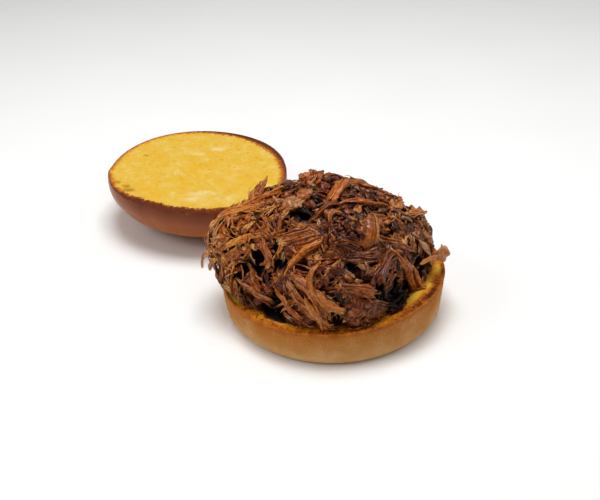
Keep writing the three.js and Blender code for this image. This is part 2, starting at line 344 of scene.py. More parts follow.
climb = np.linspace(0, np.pi / 2, 40)  # one for each ring of the dome, closest near the table
side_height = CROWN_HEIGHT * (1 - np.cos(climb))
side_height[-1] -= 0.5
base = np.linspace(1.0, CROWN_FLAT_RADIUS, 8, endpoint=False)
inset = np.concatenate([[0.35, 0.8], np.arange(1.3, CROWN_RADIUS - 0.8, FACE_STEP)])
profile_radius = np.concatenate([base, crown_side(side_height), CROWN_RADIUS - inset])
profile_height = np.concatenate([base * 0, side_height, np.full(len(inset), CROWN_HEIGHT)])
profile_inset = np.concatenate([base * 0 + UNDERSIDE, side_height - CROWN_HEIGHT, inset])

corner = CROWN_CORNER_DEPTH * facing(*CROWN_CORNER_SIDE)
swell = 1 + (outline_waves(turns, CROWN_WAVES) + corner) / CROWN_RADIUS
crown = profile_radius[:, None, None] * circle * swell[:, None]
crown[..., 2] = profile_height[:, None]
from_edge = np.broadcast_to(profile_inset[:, None], crown.shape[:2])
into_crumb = np.where(from_edge > 0, from_edge - crust_width, -7.0)
print("crown:", len(crown), "rings of", AROUND, "points")

# %% [markdown]
# Relief on the crown: the crumb has dried and sunk under the rim, and holds small pores and a few
# larger bubbles. Each pore is a shallow oval pit. The torn side slopes down and outward and carries
# crumbs of crust, and the glazed outside has only faint wrinkles.

# %% Relief of the crown


def press_pores(points, centres, radii, stretch):
    """Depth, from 0 to 1, of oval pits in a face, at each point of the face."""
    depth = np.zeros(points.shape[:-1])
    for (x, y), radius, (turn, ratio) in zip(centres, radii, stretch):
        along, off = along_and_off(points, x, y, turn)
        share = 1 - (along / (radius * ratio)) ** 2 - (off / radius) ** 2
        depth = np.maximum(depth, np.clip(share, 0, 1) * min(radius, 1.6) / 1.6)
    return depth


def scatter_pores(luck, count, reach, sizes):
    """Places, radii and stretches of pores on a disc."""
    distance = reach * np.sqrt(luck.random(count))
    turn = luck.random(count) * 2 * np.pi
    centres = np.stack([distance * np.cos(turn), distance * np.sin(turn)], -1)
    radii = sizes[0] + (sizes[1] - sizes[0]) * luck.random(count) ** 3
    stretch = np.stack([luck.random(count) * np.pi, 1 + 0.9 * luck.random(count)], -1)
    return centres, radii, stretch


# Bubbles that burst in the cut: (x, y, radius) from the crown's middle. All are long in one direction.
BUBBLES = np.array([(-16.5, -47.2, 2.4), (-3.5, -46.2, 3.0), (-8.5, -45.0, 2.0), (-37.0, -15.0, 1.5)])
BUBBLE_STRETCH = (0.6, 1.6)  # (direction in radians, length over width)
luck = np.random.default_rng(11)
crumb = ramp(into_crumb, -0.4, 0.8)
pores = press_pores(crown, *scatter_pores(luck, 330, reach=52, sizes=(0.45, 1.25))) * crumb
holes = press_pores(crown, BUBBLES[:, :2], BUBBLES[:, 2], [BUBBLE_STRETCH] * len(BUBBLES)) * crumb
crown_places = crown.copy()
crumb_drop = 0.6 * ramp(into_crumb, -0.2, 1.6) + 0.22 * (1 - blobs(crown_places, 9, 3)) * crumb
crumb_grain = 0.10 * blobs(crown_places, 1.3, 4) + 0.07 * blobs(crown_places, 0.8, 5)
crown[..., 2] -= crumb_drop + 1.2 * holes + crumb * (0.5 * pores - crumb_grain)
rim = ramp(from_edge, -2.0, 0.0) * (1 - crumb)
burrs = np.clip(blobs(crown_places, 2.0, 6), -0.4, 1) + np.clip(blobs(crown_places, 1.2, 7), -0.3, 1)
crown[..., 2] -= rim * (0.35 + torn * (0.9 - 0.9 * ramp(from_edge, 0, 4.5))) - rim * torn * 0.8 * burrs
wall = 1 - ramp(from_edge, -1.0, 0.3)
wrinkle = 0.3 * blobs(crown_places, 7, 8) + 0.06 * blobs(crown_places, 2.2, 9)
standing = ramp(profile_height, 0, 3)[:, None]
crown[..., :2] *= (1 + (wrinkle - 0.27) * wall * standing / CROWN_RADIUS)[..., None]
crown[..., 2] = np.clip(crown[..., 2], 0, CROWN_HEIGHT)
print("bubbles in the crown's crumb:", len(BUBBLES))

# %% [markdown]
# ## Brioche crust and crumb
# Brioche is wheat dough rich in butter and egg yolk, which make the crumb bright yellow. Baked starch
# and egg wash give a crust that is smooth and slightly shiny, with an IOR of about 1.45, while the
# torn crumb scatters light and looks matt. One material carries both, because they are one piece of
# bread: an attribute says how far a point lies inside the crumb, and a fine noise frays the border.

# %% Brioche of the crown
brioche, tree = start_material("egg_washed_brioche")
place = add_node(tree, "TexCoord").outputs["Object"]
inside, below, pit, pale, browned, baked = [
    add_node(tree, "Attribute", attribute_name=label).outputs["Fac"]
    for label in ("into_crumb", "below_cut", "pit", "pale", "browned", "baked")]

# Crumb: patches of 7 mm in deeper yellow, painted shade in fine pores and pits, and whiter skins of dried
# crumb.
mottle, pore_grain, fray = [
    add_node(tree, "TexNoise", {
        "Vector": place, "Scale": 1 / (size * MM), "Detail": detail, "Roughness": rough})
    for size, detail, rough in ((7, 6.0, 0.65), (1.1, 3.0, 0.5), (1.4, 4.0, 0.5))]
mottle_color = add_node(tree, "ValToRGB", {"Fac": mottle}, [
    (0.3, paint("#e0c064")), (0.5, paint("#dcb23e")), (0.7, paint("#dda91a"))])
pore_shade = add_node(tree, "MapRange", {
    "Value": pore_grain, "From Min": 0.3, "From Max": 0.5, "To Min": 0.5, "To Max": 0.0})
crumb_color = mottle_color
for share, tint in ((pore_shade, "#cb9a26"), (pit, "#a4760c"), (pale, "#e2cf94")):
    crumb_color = add_node(tree, "Mix", {
        "Factor_Float": share, "A_Color": crumb_color, "B_Color": paint(tint)}, data_type="RGBA")

# Between crust and crumb the bread browns through orange within a millimetre or two.
frayed_edge = add_node(tree, "Math", {0: fray, 1: 7.0, 2: inside}, operation="MULTIPLY_ADD")
frayed_brown = add_node(tree, "Math", {0: fray, 1: 4.0, 2: browned}, operation="MULTIPLY_ADD")
edge_color = add_node(tree, "ValToRGB", {"Fac": add_node(tree, "MapRange", {
    "Value": frayed_brown, "From Min": 0.5, "From Max": 5.0})}, [
    (0.0, paint("#5f270b")), (0.3, paint("#8c4411")), (0.6, paint("#b96c1a")), (0.95, paint("#d69628"))])
crumb_share = add_node(tree, "MapRange", {"Value": frayed_edge, "From Min": 3.4, "From Max": 4.6})

# Crust: darkest in a band under the torn edge, lighter toward the top of the dome.
upward = add_node(tree, "VectorMath", {0: place, 1: (1.0, 1.0, 0.35)}, operation="MULTIPLY")
bake = add_node(tree, "TexNoise", {"Vector": upward, "Scale": 1 / (8 * MM), "Detail": 5.0})
bake_level = add_node(tree, "Math", {0: bake, 1: 12.0, 2: baked}, operation="MULTIPLY_ADD")
wall_color = add_node(tree, "ValToRGB", {"Fac": add_node(tree, "MapRange", {
    "Value": bake_level, "From Min": 5.0, "From Max": 28.0})}, [
    (0.0, paint("#602508")), (0.16, paint("#74320a")), (0.45, paint("#8d4410")), (1.0, paint("#a75d20"))])
is_wall = add_node(tree, "MapRange", {"Value": below, "From Min": 0.2, "From Max": 1.2})
bread_color = edge_color
for share, over in ((is_wall, wall_color), (crumb_share, crumb_color)):
    bread_color = add_node(tree, "Mix", {
        "Factor_Float": share, "A_Color": bread_color, "B_Color": over}, data_type="RGBA")

# The glazed wall is glossy and smooth, and what the knife or a tear laid open is matt and rough.
bread_rough = add_node(tree, "MapRange", {"Value": is_wall, "To Min": 0.85, "To Max": 0.36})
torn_part = add_node(tree, "Math", {0: 1.0, 1: is_wall}, operation="SUBTRACT")
bread_bump = add_node(tree, "Math", {0: pore_grain, 1: torn_part}, operation="MULTIPLY")
bread_normal = add_node(tree, "Bump", {"Height": bread_bump, "Strength": 0.7, "Distance": 0.5 * MM})
surface = add_node(tree, "BsdfPrincipled", {
    "Base Color": bread_color, "Roughness": bread_rough, "IOR": 1.45, "Specular IOR Level": 0.3,
    "Normal": bread_normal})
add_node(tree, "OutputMaterial", {"Surface": surface})

# %% Join the crown
# Whiter skins of dried crumb: (x, y, half-length, half-width).
PALE_SKINS = [(28, -15, 9, 4), (30, -24, 6, 3), (40, -10, 5, 2.5), (-17, 24, 5, 2.5), (-18, 12, 4, 2)]
pale_skin = np.zeros(crown.shape[:2])
for x, y, long, wide in PALE_SKINS:
    along, off = along_and_off(crown, x, y, np.radians(SERVING_TURN))
    patch = np.exp(-(along / long) ** 2 - (off / wide) ** 2)
    pale_skin = np.maximum(pale_skin, patch * ramp(blobs(crown_places, 2.4, 12), -0.5, 0.6))
face_browned = into_crumb + (2.4 + 0.3 * broad - 1.9 * dark_band) * (1 - torn)
below_cut = np.maximum(-from_edge, 0)
build_half(
    "crown_bread", crown, CROWN_MIDDLE, brioche, "bun_crown", "crown", into_crumb=into_crumb,
    below_cut=below_cut, browned=face_browned, baked=below_cut + 8 * (1 - torn),
    pit=np.clip(0.5 * pores + holes, 0, 1), pale=0.75 * pale_skin)

# %% [markdown]
# ## The heel
# The heel is the bottom half. It baked against the tin, so its underside is flat and its wall is
# matt and tan, dusted with flour. Its cut face was laid on a hot griddle: butter browned it toward the
# rim, with nearly black specks where it touched, and it stayed golden where it arched up. Where the meat
# overhangs the front, sauce has soaked in, and nearer the meat the bread is painted nearly black as the
# meat's shadow.

# %% Sizes and rings of the heel
HEEL_RADIUS = 56.3
HEEL_THICKNESS = 20.0
HEEL_SLANT = np.array([0.0272, 0.0454])  # rise of the cut face along X and Y
HEEL_BASE_ROUND = 5.5  # radius of the lower edge
HEEL_LEAN = 1.2  # how far the rim stands out over the foot
HEEL_WAVES = [(2, 1.25, 57.4), (3, 0.9, 73.3)]
SHOWN_RING = 24.0  # further in than this the heap hides the cut face, so wider rings do


def heel_top(points):
    """Height of the heel's cut face at a place."""
    return HEEL_THICKNESS + points[..., :2] @ HEEL_SLANT


def heel_rim(points):
    """Radius of the heel's outline in the direction of a place."""
    turn = np.arctan2(points[..., 1], points[..., 0])
    return HEEL_RADIUS + outline_waves(turn, HEEL_WAVES)


foot = HEEL_RADIUS - HEEL_LEAN
bend = np.linspace(0, np.pi / 2, 8)
base = np.linspace(1.0, foot - HEEL_BASE_ROUND, 7, endpoint=False)
wall_rise = np.linspace(HEEL_BASE_ROUND + 0.8, HEEL_THICKNESS - 0.9, 20)
wall_radius = np.interp(wall_rise, [HEEL_BASE_ROUND, 12, HEEL_THICKNESS], [foot, foot + 0.84, HEEL_RADIUS])
inset = np.concatenate([
    [0.15, 0.45, 0.9], np.arange(1.5, SHOWN_RING, FACE_STEP),
    np.arange(SHOWN_RING, HEEL_RADIUS - 0.8, 2.5)])
side_height = np.concatenate([HEEL_BASE_ROUND * (1 - np.cos(bend)), wall_rise])
profile_radius = np.concatenate([
    base, foot - HEEL_BASE_ROUND + HEEL_BASE_ROUND * np.sin(bend), wall_radius, HEEL_RADIUS - inset])
profile_height = np.concatenate([
    base * 0, side_height, HEEL_THICKNESS - np.interp(inset, [0.15, 0.45, 0.9], [0.6, 0.25, 0])])
profile_inset = np.concatenate([base * 0 + UNDERSIDE, side_height - HEEL_THICKNESS, inset])
swell = 1 + outline_waves(turns, HEEL_WAVES) / HEEL_RADIUS
heel = profile_radius[:, None, None] * circle * swell[:, None]
heel[..., 2] = profile_height[:, None] * heel_top(heel) / HEEL_THICKNESS
from_edge = np.broadcast_to(profile_inset[:, None], heel.shape[:2])

# %% Relief of the heel
heel_places = heel.copy()
heel_tear = blobs(circle * HEEL_RADIUS, 3.0, 21)
into_crumb = np.where(from_edge > 0, from_edge - 1.5 - 0.6 * heel_tear, -1.0)
crumb = ramp(into_crumb, -0.5, 0.6)
luck = np.random.default_rng(12)
pores = press_pores(heel, *scatter_pores(luck, 260, reach=54, sizes=(0.4, 1.1))) * crumb
sunk = 0.35 * (1 + blobs(heel_places, 8, 22)) + 0.12 * (1 + blobs(heel_places, 1.4, 23))
heel[..., 2] -= crumb * (sunk + 1.1 * pores)
wall = 1 - ramp(from_edge, -0.6, 0.4)
standing = ramp(profile_height, 0.5, 5)[:, None]
wrinkle = 0.55 * blobs(heel_places, 13, 24) + 0.25 * blobs(heel_places, 4.5, 27)
wrinkle = wrinkle + 0.16 * blobs(heel_places, 2.0, 25) - 0.6
heel[..., :2] *= (1 + wrinkle * wall * standing / HEEL_RADIUS)[..., None]
print("heel:", len(heel), "rings of", AROUND, "points")

# %% [markdown]
# ## Griddled crumb and floured crust
# Browning is a ladder of colours: buttery gold, orange-brown, chestnut and nearly black. A noise in
# patches of 4.5 mm, pushed up toward the rim, says how far each spot has climbed it. Specks of 1 mm
# climb further. Buttery crumb is a little glossier than dry crumb, and the crust is dull with flour.

# %% Griddled brioche
griddled, tree = start_material("buttered_griddled_brioche")
place = add_node(tree, "TexCoord").outputs["Object"]
inside, below, pit, toast, stain = [
    add_node(tree, "Attribute", attribute_name=label).outputs["Fac"]
    for label in ("into_crumb", "below_cut", "pit", "toast", "stain")]
patches, specks, bake, flour = [
    add_node(tree, "TexNoise", {
        "Vector": place, "Scale": 1 / (size * MM), "Detail": detail, "Roughness": rough})
    for size, detail, rough in ((4.5, 6.0, 0.72), (1.1, 3.0, 0.7), (12, 5.0, 0.5), (0.7, 2.0, 0.7))]

# Cut face: the more a spot is browned, the darker, with specks over it and painted shade in its pits.
browning = add_node(tree, "Math", {0: patches, 1: 0.9, 2: toast}, operation="MULTIPLY_ADD")
face_color = add_node(tree, "ValToRGB", {"Fac": add_node(tree, "MapRange", {
    "Value": browning, "From Min": 0.25, "From Max": 1.05})}, [
    (0.0, paint("#e3b238")), (0.2, paint("#d99a28")), (0.42, paint("#cc7c18")), (0.62, paint("#b05c10")),
    (0.8, paint("#7f390b")), (1.0, paint("#4a1d07"))])
speck_level = add_node(tree, "Math", {0: browning, 1: 0.4, 2: specks}, operation="MULTIPLY_ADD")
speck_share = add_node(tree, "MapRange", {
    "Value": speck_level, "From Min": 0.79, "From Max": 0.87, "To Max": 0.8})
# Sauce has run from the meat into the bread beside it, light brown at its edge. Nearer the meat it turns
# nearly black, which is painted shadow under the overhanging meat.
stain_share = add_node(tree, "MapRange", {
    "Value": add_node(tree, "Math", {0: patches, 1: stain}, operation="ADD"),
    "From Min": 0.8, "From Max": 1.45, "To Max": 0.95})
stain_color = add_node(tree, "ValToRGB", {"Fac": stain_share}, [
    (0.15, paint("#8e5210")), (0.4, paint("#3e1c06")), (0.6, paint("#0e0402"))])
stain_cover = add_node(tree, "MapRange", {"Value": stain_share, "From Max": 0.25})
for share, over in (
        (speck_share, paint("#3a1606")), (pit, paint("#6f3a10")), (stain_cover, stain_color)):
    face_color = add_node(tree, "Mix", {
        "Factor_Float": share, "A_Color": face_color, "B_Color": over}, data_type="RGBA")
rim_color = add_node(tree, "ValToRGB", {"Fac": patches}, [
    (0.35, paint("#bd6e1e")), (0.6, paint("#944c14"))])
crumb_share = add_node(tree, "MapRange", {
    "Value": add_node(tree, "Math", {0: specks, 1: 2.0, 2: inside}, operation="MULTIPLY_ADD"),
    "From Min": 0.6, "From Max": 2.0})

# Wall: tan crust in patches of 12 mm, with flour where the bake is light.
bake_level = add_node(tree, "Math", {0: bake, 1: 14.0, 2: below}, operation="MULTIPLY_ADD")
wall_color = add_node(tree, "ValToRGB", {"Fac": add_node(tree, "MapRange", {
    "Value": bake_level, "From Min": 5.0, "From Max": 25.0})}, [
    (0.0, paint("#a5601c")), (0.25, paint("#b06c28")), (0.6, paint("#b87d42")), (1.0, paint("#d0a268"))])
floured = add_node(tree, "Mix", {
    "Factor_Float": add_node(tree, "MapRange", {
        "Value": add_node(tree, "Math", {0: bake, 1: 0.6, 2: flour}, operation="MULTIPLY_ADD"),
        "From Min": 0.82, "From Max": 1.06, "To Max": 0.34}),
    "A_Color": wall_color, "B_Color": paint("#dfc19c")}, data_type="RGBA")
is_wall = add_node(tree, "MapRange", {"Value": below, "From Min": 0.6, "From Max": 3.2})
bread_color = rim_color
for share, over in ((crumb_share, face_color), (is_wall, floured)):
    bread_color = add_node(tree, "Mix", {
        "Factor_Float": share, "A_Color": bread_color, "B_Color": over}, data_type="RGBA")
# The stained bread, its painted shadow included, is matt.
crust_rough = add_node(tree, "MapRange", {"Value": is_wall, "To Min": 0.55, "To Max": 0.8})
bread_rough = add_node(tree, "Math", {0: crust_rough, 1: stain_share}, operation="MAXIMUM")
grain_sum = add_node(tree, "Math", {0: specks, 1: flour}, operation="ADD")
bread_normal = add_node(tree, "Bump", {"Height": grain_sum, "Strength": 0.6, "Distance": 0.35 * MM})
surface = add_node(tree, "BsdfPrincipled", {
    "Base Color": bread_color, "Roughness": bread_rough, "IOR": 1.45, "Specular IOR Level": 0.12,
    "Normal": bread_normal})
add_node(tree, "OutputMaterial", {"Surface": surface})

# %% [markdown]
# The toast, and the sauce that soaked in together with the painted shadow of the meat, are laid out by
# place. Toasting is strongest near the rim on two sides, and the stain and painted shadow start on the
# front, where the meat hangs over the edge.

# %% Toast, stain and join the heel
BURNT_SIDES = [(33, 26, 1.0), (-42, 20, 0.3)]  # (direction, half-width in degrees, how burnt)
# The sauce stain and the painted shadow of the meat on the bread: where they lie, how far out they reach,
# and where they reach further at the front left.
STAIN_AND_SHADOW_SIDE = (-45, 58)  # where sauce ran into the bread
STAIN_AND_SHADOW_TO = 46.5  # from the heel's middle
STAIN_AND_SHADOW_FURTHER = (-76, 12)  # where it got further
rim_toast = 1 - ramp(from_edge, 3.5, 11.0)
burnt_sides = sum(burnt * facing(side, width) for side, width, burnt in BURNT_SIDES)
heel_toast = 0.1 + (0.1 + 0.3 * burnt_sides) * rim_toast + 0.1 * blobs(heel_places, 14, 26)
# Where the bread arched off the griddle it stayed golden: (angle, distance, half-length, half-width).
GOLDEN_SPOTS = [
    (-107, 53, 6, 3.5), (-72, 48.5, 7, 2.2), (20, 47.5, 7, 2.0), (35, 50, 8, 2.0), (50, 54, 7, 2.2)]
for angle, distance, long, wide in GOLDEN_SPOTS:
    turn = np.radians(angle)
    off, along = along_and_off(heel_places, distance * np.cos(turn), distance * np.sin(turn), turn)
    heel_toast = heel_toast - 0.6 * np.exp(-(along / long) ** 2 - (off / wide) ** 2)
heel_distance = np.hypot(heel_places[..., 0], heel_places[..., 1])
stain_and_shadow_to = STAIN_AND_SHADOW_TO + 5 * facing(*STAIN_AND_SHADOW_FURTHER)
heel_stain = (1 - ramp(heel_distance - stain_and_shadow_to, -4, 3)) * facing(*STAIN_AND_SHADOW_SIDE, power=4)
build_half(
    "heel_bread", heel, 0, griddled, "bun_heel", "heel", into_crumb=into_crumb,
    below_cut=np.maximum(-from_edge, 0), pit=np.clip(pores, 0, 1), toast=heel_toast, stain=heel_stain)

# %% [markdown]
# ## The form of the heap
# A heap of shredded meat has no surface of its own: it is what the top shreds make. The plain model
# gives the form to aim for: a flattened dome with a lump for each clump of meat and a dip for each hollow.
# The same rule is repeated here, with the same lumps, so that each shred lands where the model has it.

# %% The dome and its lumps
HEAP_MIDDLE = np.array([-0.6, -0.8, 20.0])
HEAP_REACH = 48.5  # how far the dome reaches sideways
HEAP_RISE = 42.5  # how far up
HEAP_SINK = 9.0  # and how far down past the rim
HEAP_POWER = 2.15  # how square it is; 2 would be round
# Each lump is (azimuth, polar, half-width in degrees, height in millimetres).
HEAP_LUMPS = [
    (180, 70, 21, 15), (150, 50, 18, 3.5), (112, 20, 14, 3.5), (20, 14, 14, 2.5), (55, 50, 20, -1.5),
    (95, 60, 22, -4), (8, 62, 16, 5), (-28, 80, 15, -10), (-62, 74, 14, 2.5), (-128, 76, 14, -5),
    (-155, 80, 14, 1), (-100, 42, 10, -3), (-60, 34, 9, 3), (-144, 67, 7, -4), (-126, 58, 7, -4),
    (-124, 83, 9, -4), (-128, 28, 7, -4), (-80, 56, 8, -5), (-55, 76, 10, -6), (-38, 43, 8, -4),
    (-67, 48, 6, -3), (100, 38, 9, -4), (128, 66, 9, -4), (52, 72, 9, -4), (-92, 91, 14, -2.2)]
# The meat goes deeper still in these hollows, (azimuth, polar, half-width, extra depth). The first one is
# a wide gap at the front that is filled with meat in painted shadow, so there the inside lies less deep.
HOLLOWS = [
    (-30, 84, 13, -5), (-148, 66, 4.5, 7), (-128, 58, 4.5, 8), (-127, 85, 6, 8), (-138, 27, 6, 9),
    (-79, 56, 5, 8), (-50, 78, 8, 4), (-38, 43, 4, 8), (-86, 88, 4, 6), (100, 38, 6, 5),
    (128, 66, 7, 6), (52, 72, 7, 6), (105, 22, 4, 6), (133, 34, 4, 4), (151, 41, 4, 4), (54, 24, 5, 3),
    (9, 51, 4, 4)]

# %% Directions and distances in the heap


def unit(vectors):
    """Vectors scaled to length 1."""
    return vectors / np.maximum(np.linalg.norm(vectors, axis=-1, keepdims=True), 1e-9)


def heap_direction(azimuth, polar):
    """Unit vectors: azimuth 0 is right of the heap, -90 toward the eater; polar 0 is straight up."""
    turn = np.radians(azimuth + SERVING_TURN)
    down = np.radians(polar)
    return np.stack([np.sin(down) * np.cos(turn), np.sin(down) * np.sin(turn), np.cos(down)], -1)


def near(directions, azimuth, polar, spread):
    """1 at one direction of the heap, falling to 0 round it; spread is in degrees."""
    gap = np.arccos(np.clip(directions @ heap_direction(azimuth, polar), -1, 1))
    return np.exp(-(np.degrees(gap) / spread) ** 2)


def heap_radius(directions):
    """Distance from the heap's middle to the surface of its form."""
    level = np.hypot(directions[..., 0], directions[..., 1]) / HEAP_REACH
    height = directions[..., 2]
    upright = np.where(height > 0, height / HEAP_RISE, -height / HEAP_SINK)
    radius = (level ** HEAP_POWER + upright ** HEAP_POWER) ** (-1 / HEAP_POWER)
    return radius + sum(height * near(directions, *lump) for *lump, height in HEAP_LUMPS)


def hollow_depth(directions):
    """How much deeper the meat goes in the hollows."""
    depths = [extra * near(directions, *hollow) for *hollow, extra in HOLLOWS]
    return np.max(depths, axis=0) + np.min(depths, axis=0)


# %% [markdown]
# ## A map of how high the meat lies
# The shreds are dropped one by one, and each needs to know how high the meat under it already is. A map
# keeps that. It is a disc, the dome rolled flat with true areas, in cells of about 1 mm, and each cell
# holds the distance from the heap's middle. It starts some millimetres under the form.

# %% The map
MAP_CELLS = 176
MAP_SCALE = 50.0  # cells for each unit of the rolled disc
CORE_DEPTH = 6.0  # the shreds fill this much over the core
CLUMP_SIZE = 10.0  # slow swells make some clumps of meat stand out
CLUMP_HEIGHT = 1.8


def map_cells(directions):
    """Row and column of the map for each direction."""
    toward = unit(directions)
    spread = np.sqrt(2 / np.maximum(1 + toward[..., 2], 0.3)) * MAP_SCALE
    cells = (toward[..., :2] * spread[..., None] + MAP_CELLS / 2).astype(int)
    cells = np.clip(cells, 1, MAP_CELLS - 2)
    return cells[..., 0], cells[..., 1]


def soften(values, rounds, axis):
    """Blurs an array along one axis."""
    size = values.shape[axis]
    for _ in range(rounds):
        padded = np.concatenate([values.take([0], axis), values, values.take([-1], axis)], axis)
        values = (padded.take(range(size), axis) + 2 * values + padded.take(range(2, size + 2), axis)) / 4
    return values


places = (np.arange(MAP_CELLS) + 0.5 - MAP_CELLS / 2) / MAP_SCALE
flat = np.stack(np.meshgrid(places, places, indexing="ij"), -1)
rolled = np.minimum(np.sum(flat ** 2, -1), 3.2)
map_directions = unit(np.concatenate([
    flat * np.sqrt(1 - rolled / 4)[..., None], (1 - rolled / 2)[..., None]], -1))
form = heap_radius(map_directions)
clumps = CLUMP_HEIGHT * blobs(map_directions * HEAP_REACH, CLUMP_SIZE, 33)
laid = form + clumps - CORE_DEPTH - hollow_depth(map_directions)
print("heap: from", round(form.min(), 1), "to", round(form.max(), 1), "mm from its middle")

# %% [markdown]
# ## Roast pork in its sauce
# Pulled pork is shoulder that was roasted until its collagen melted, so it falls apart in bundles of
# muscle fibre. The fibres run along each shred, 0.3 to 0.8 mm apart, which gives fine streaks and
# grooves. The outside of the roast is mahogany, the inside tan, and the sauce stains both and leaves a
# thin wet film, with an IOR near 1.4 and a soft, low gloss. The streaks use a "grain" attribute,
# the place inside the shred as if it lay straight, so that they follow every bend. A "depth" attribute
# says how far a point lies in a gap. There the colour is painted shade, nearly black, and the film is
# thinned so that hardly any gloss shows.

# %% Material of the meat


def meat_material(name, film, film_rough, meat_rough):
    """Shredded roast pork under a film of sauce. Film says how wet it is."""
    material, tree = start_material(name)
    place = add_node(tree, "TexCoord").outputs["Object"]
    grain = add_node(tree, "Attribute", attribute_name="grain").outputs["Vector"]
    tone, warm, depth, sauce = [
        add_node(tree, "Attribute", attribute_name=label).outputs["Fac"]
        for label in ("tone", "warm", "depth", "sauce")]

    # Streaks of 0.6 mm across the fibre, and lumps where fat and gristle sat.
    streaks = add_node(tree, "TexNoise", {"Vector": grain, "Scale": 1.7, "Detail": 4.0, "Roughness": 0.65})
    lumps, blots, beads = [
        add_node(tree, "TexNoise", {"Vector": place, "Scale": 1 / (size * MM), "Detail": detail})
        for size, detail in ((2.2, 3.0), (3.4, 3.0), (0.9, 2.0))]
    streaked = add_node(tree, "Math", {0: streaks, 1: 0.8, 2: tone}, operation="MULTIPLY_ADD")
    level = add_node(tree, "Math", {0: lumps, 1: 0.8, 2: streaked}, operation="MULTIPLY_ADD")
    level = add_node(tree, "MapRange", {"Value": level, "From Min": 0.66, "From Max": 1.62})
    brown = add_node(tree, "ValToRGB", {"Fac": level}, [
        (0.0, paint("#1e0802")), (0.26, paint("#52220a")), (0.5, paint("#8c4c1c")),
        (0.74, paint("#b27a4c")), (1.0, paint("#cfa67e"))])
    amber = add_node(tree, "ValToRGB", {"Fac": level}, [
        (0.0, paint("#320c02")), (0.26, paint("#782b05")), (0.5, paint("#b0560e")),
        (0.74, paint("#cc7d26")), (1.0, paint("#dca252"))])
    meat = add_node(tree, "Mix", {
        "Factor_Float": warm, "A_Color": brown, "B_Color": amber}, data_type="RGBA")

    # Sauce gathers in blots of 3 to 4 mm. In the gaps the colour goes to a near-black painted shade, by
    # depth.
    wet = add_node(tree, "MapRange", {
        "Value": add_node(tree, "Math", {0: blots, 1: sauce}, operation="ADD"),
        "From Min": 0.75, "From Max": 1.2})
    sauced = add_node(tree, "Mix", {
        "Factor_Float": add_node(tree, "Math", {0: wet, 1: 0.8}, operation="MULTIPLY"),
        "A_Color": meat, "B_Color": paint("#3a1206")}, data_type="RGBA")
    low = add_node(tree, "MapRange", {"Value": depth, "From Min": 0.17, "From Max": 0.8})
    meat_in_painted_shade = add_node(tree, "Mix", {
        "Factor_Float": low, "A_Color": sauced, "B_Color": paint("#120502")}, data_type="RGBA")

    # The film carries most of the gloss, so the meat under it keeps little of its own. In the painted shade
    # the film is thinned too, so that no reflection shows there.
    film_share = add_node(tree, "MapRange", {"Value": low, "To Min": film, "To Max": film * 0.1})
    rough = add_node(tree, "MapRange", {"Value": wet, "To Min": meat_rough, "To Max": meat_rough * 0.7})
    ribbed = add_node(tree, "Math", {0: lumps, 1: 0.5, 2: streaks}, operation="MULTIPLY_ADD")
    relief = add_node(tree, "Math", {0: beads, 1: 0.9, 2: ribbed}, operation="MULTIPLY_ADD")
    normal = add_node(tree, "Bump", {"Height": relief, "Strength": 0.85, "Distance": 0.45 * MM})
    surface = add_node(tree, "BsdfPrincipled", {
        "Base Color": meat_in_painted_shade, "Roughness": rough, "IOR": 1.4, "Specular IOR Level": 0.2, "Normal": normal,
        "Subsurface Weight": 0.2, "Subsurface Radius": (1.0, 0.4, 0.2), "Subsurface Scale": 1.0 * MM,
        "Coat Weight": film_share, "Coat Roughness": film_rough, "Coat IOR": 1.4})
    add_node(tree, "OutputMaterial", {"Surface": surface})
    return material


sauced_pork = meat_material("sauced_pork_shoulder", film=0.62, film_rough=0.14, meat_rough=0.45)
pork_fibre = meat_material("pork_muscle_fibre", film=0.15, film_rough=0.3, meat_rough=0.55)
soaked_pork = meat_material("sauce_soaked_pork", film=0.0, film_rough=0.3, meat_rough=0.9)

# %% [markdown]
# ## The dark inside of the heap
# Under the top shreds is more meat, which only shows through the gaps, as lumps in painted shade. One
# closed lumpy shape is enough for it: the form of the heap, several millimetres deeper, pushed in and out
# by noise the size of shreds, and cut off just over the bread.

# %% The core
CORE_AROUND = 200
CORE_RINGS = 66
ON_BREAD = 0.1  # the least gap between meat and bread


def keep_off_bread(points, clearance):
    """Lifts what would sink into the heel's cut face."""
    over_bun = np.hypot(points[..., 0], points[..., 1]) < heel_rim(points)
    lowest = np.where(over_bun, heel_top(points) + clearance, 0.5)
    lifted = points.copy()
    lifted[..., 2] = np.maximum(points[..., 2], lowest)
    return lifted


core_polar = np.linspace(1.5, 92, CORE_RINGS)[:, None]
core_azimuth = np.linspace(0, 360, CORE_AROUND, endpoint=False)[None, :]
core_directions = heap_direction(core_azimuth + core_polar * 0, core_polar + core_azimuth * 0)
core_distance = laid[map_cells(core_directions)]
core_distance = soften(soften(core_distance, 2, 0), 2, 1)
core_places = core_directions * core_distance[..., None]
core_distance = core_distance + 1.3 * blobs(core_places, 4.5, 31) + 0.7 * blobs(core_places, 1.8, 32)
core = keep_off_bread(HEAP_MIDDLE + core_directions * core_distance[..., None], ON_BREAD)
# Its rings run from the top down, so the order of each face's corners is turned round.
core_faces = [np.roll(faces[:, ::-1], 1, axis=1) for faces in tube_faces(CORE_RINGS, CORE_AROUND)]
core_points = close_ends(core)
core_points[-1, 2] = heel_top(core_points[-1]) + ON_BREAD
print("core:", len(core_points), "points")

# %% [markdown]
# ## Laying a shred
# A cook's shred is stiff for its size: it rests on the high spots, bridges the gaps and bends only
# slowly. The rule is the same here. A path is drawn over the dome, with a bend and a waver. The map
# gives the height of the meat below at each step, small dips are bridged, and the result is softened. Then
# the shred is written into the map, so that the next one lies on top of it.

# %% Paths over the heap
FEET_ACROSS = np.array([-0.42, -0.2, 0.0, 0.2, 0.42])  # where a shred stands, as shares of its width


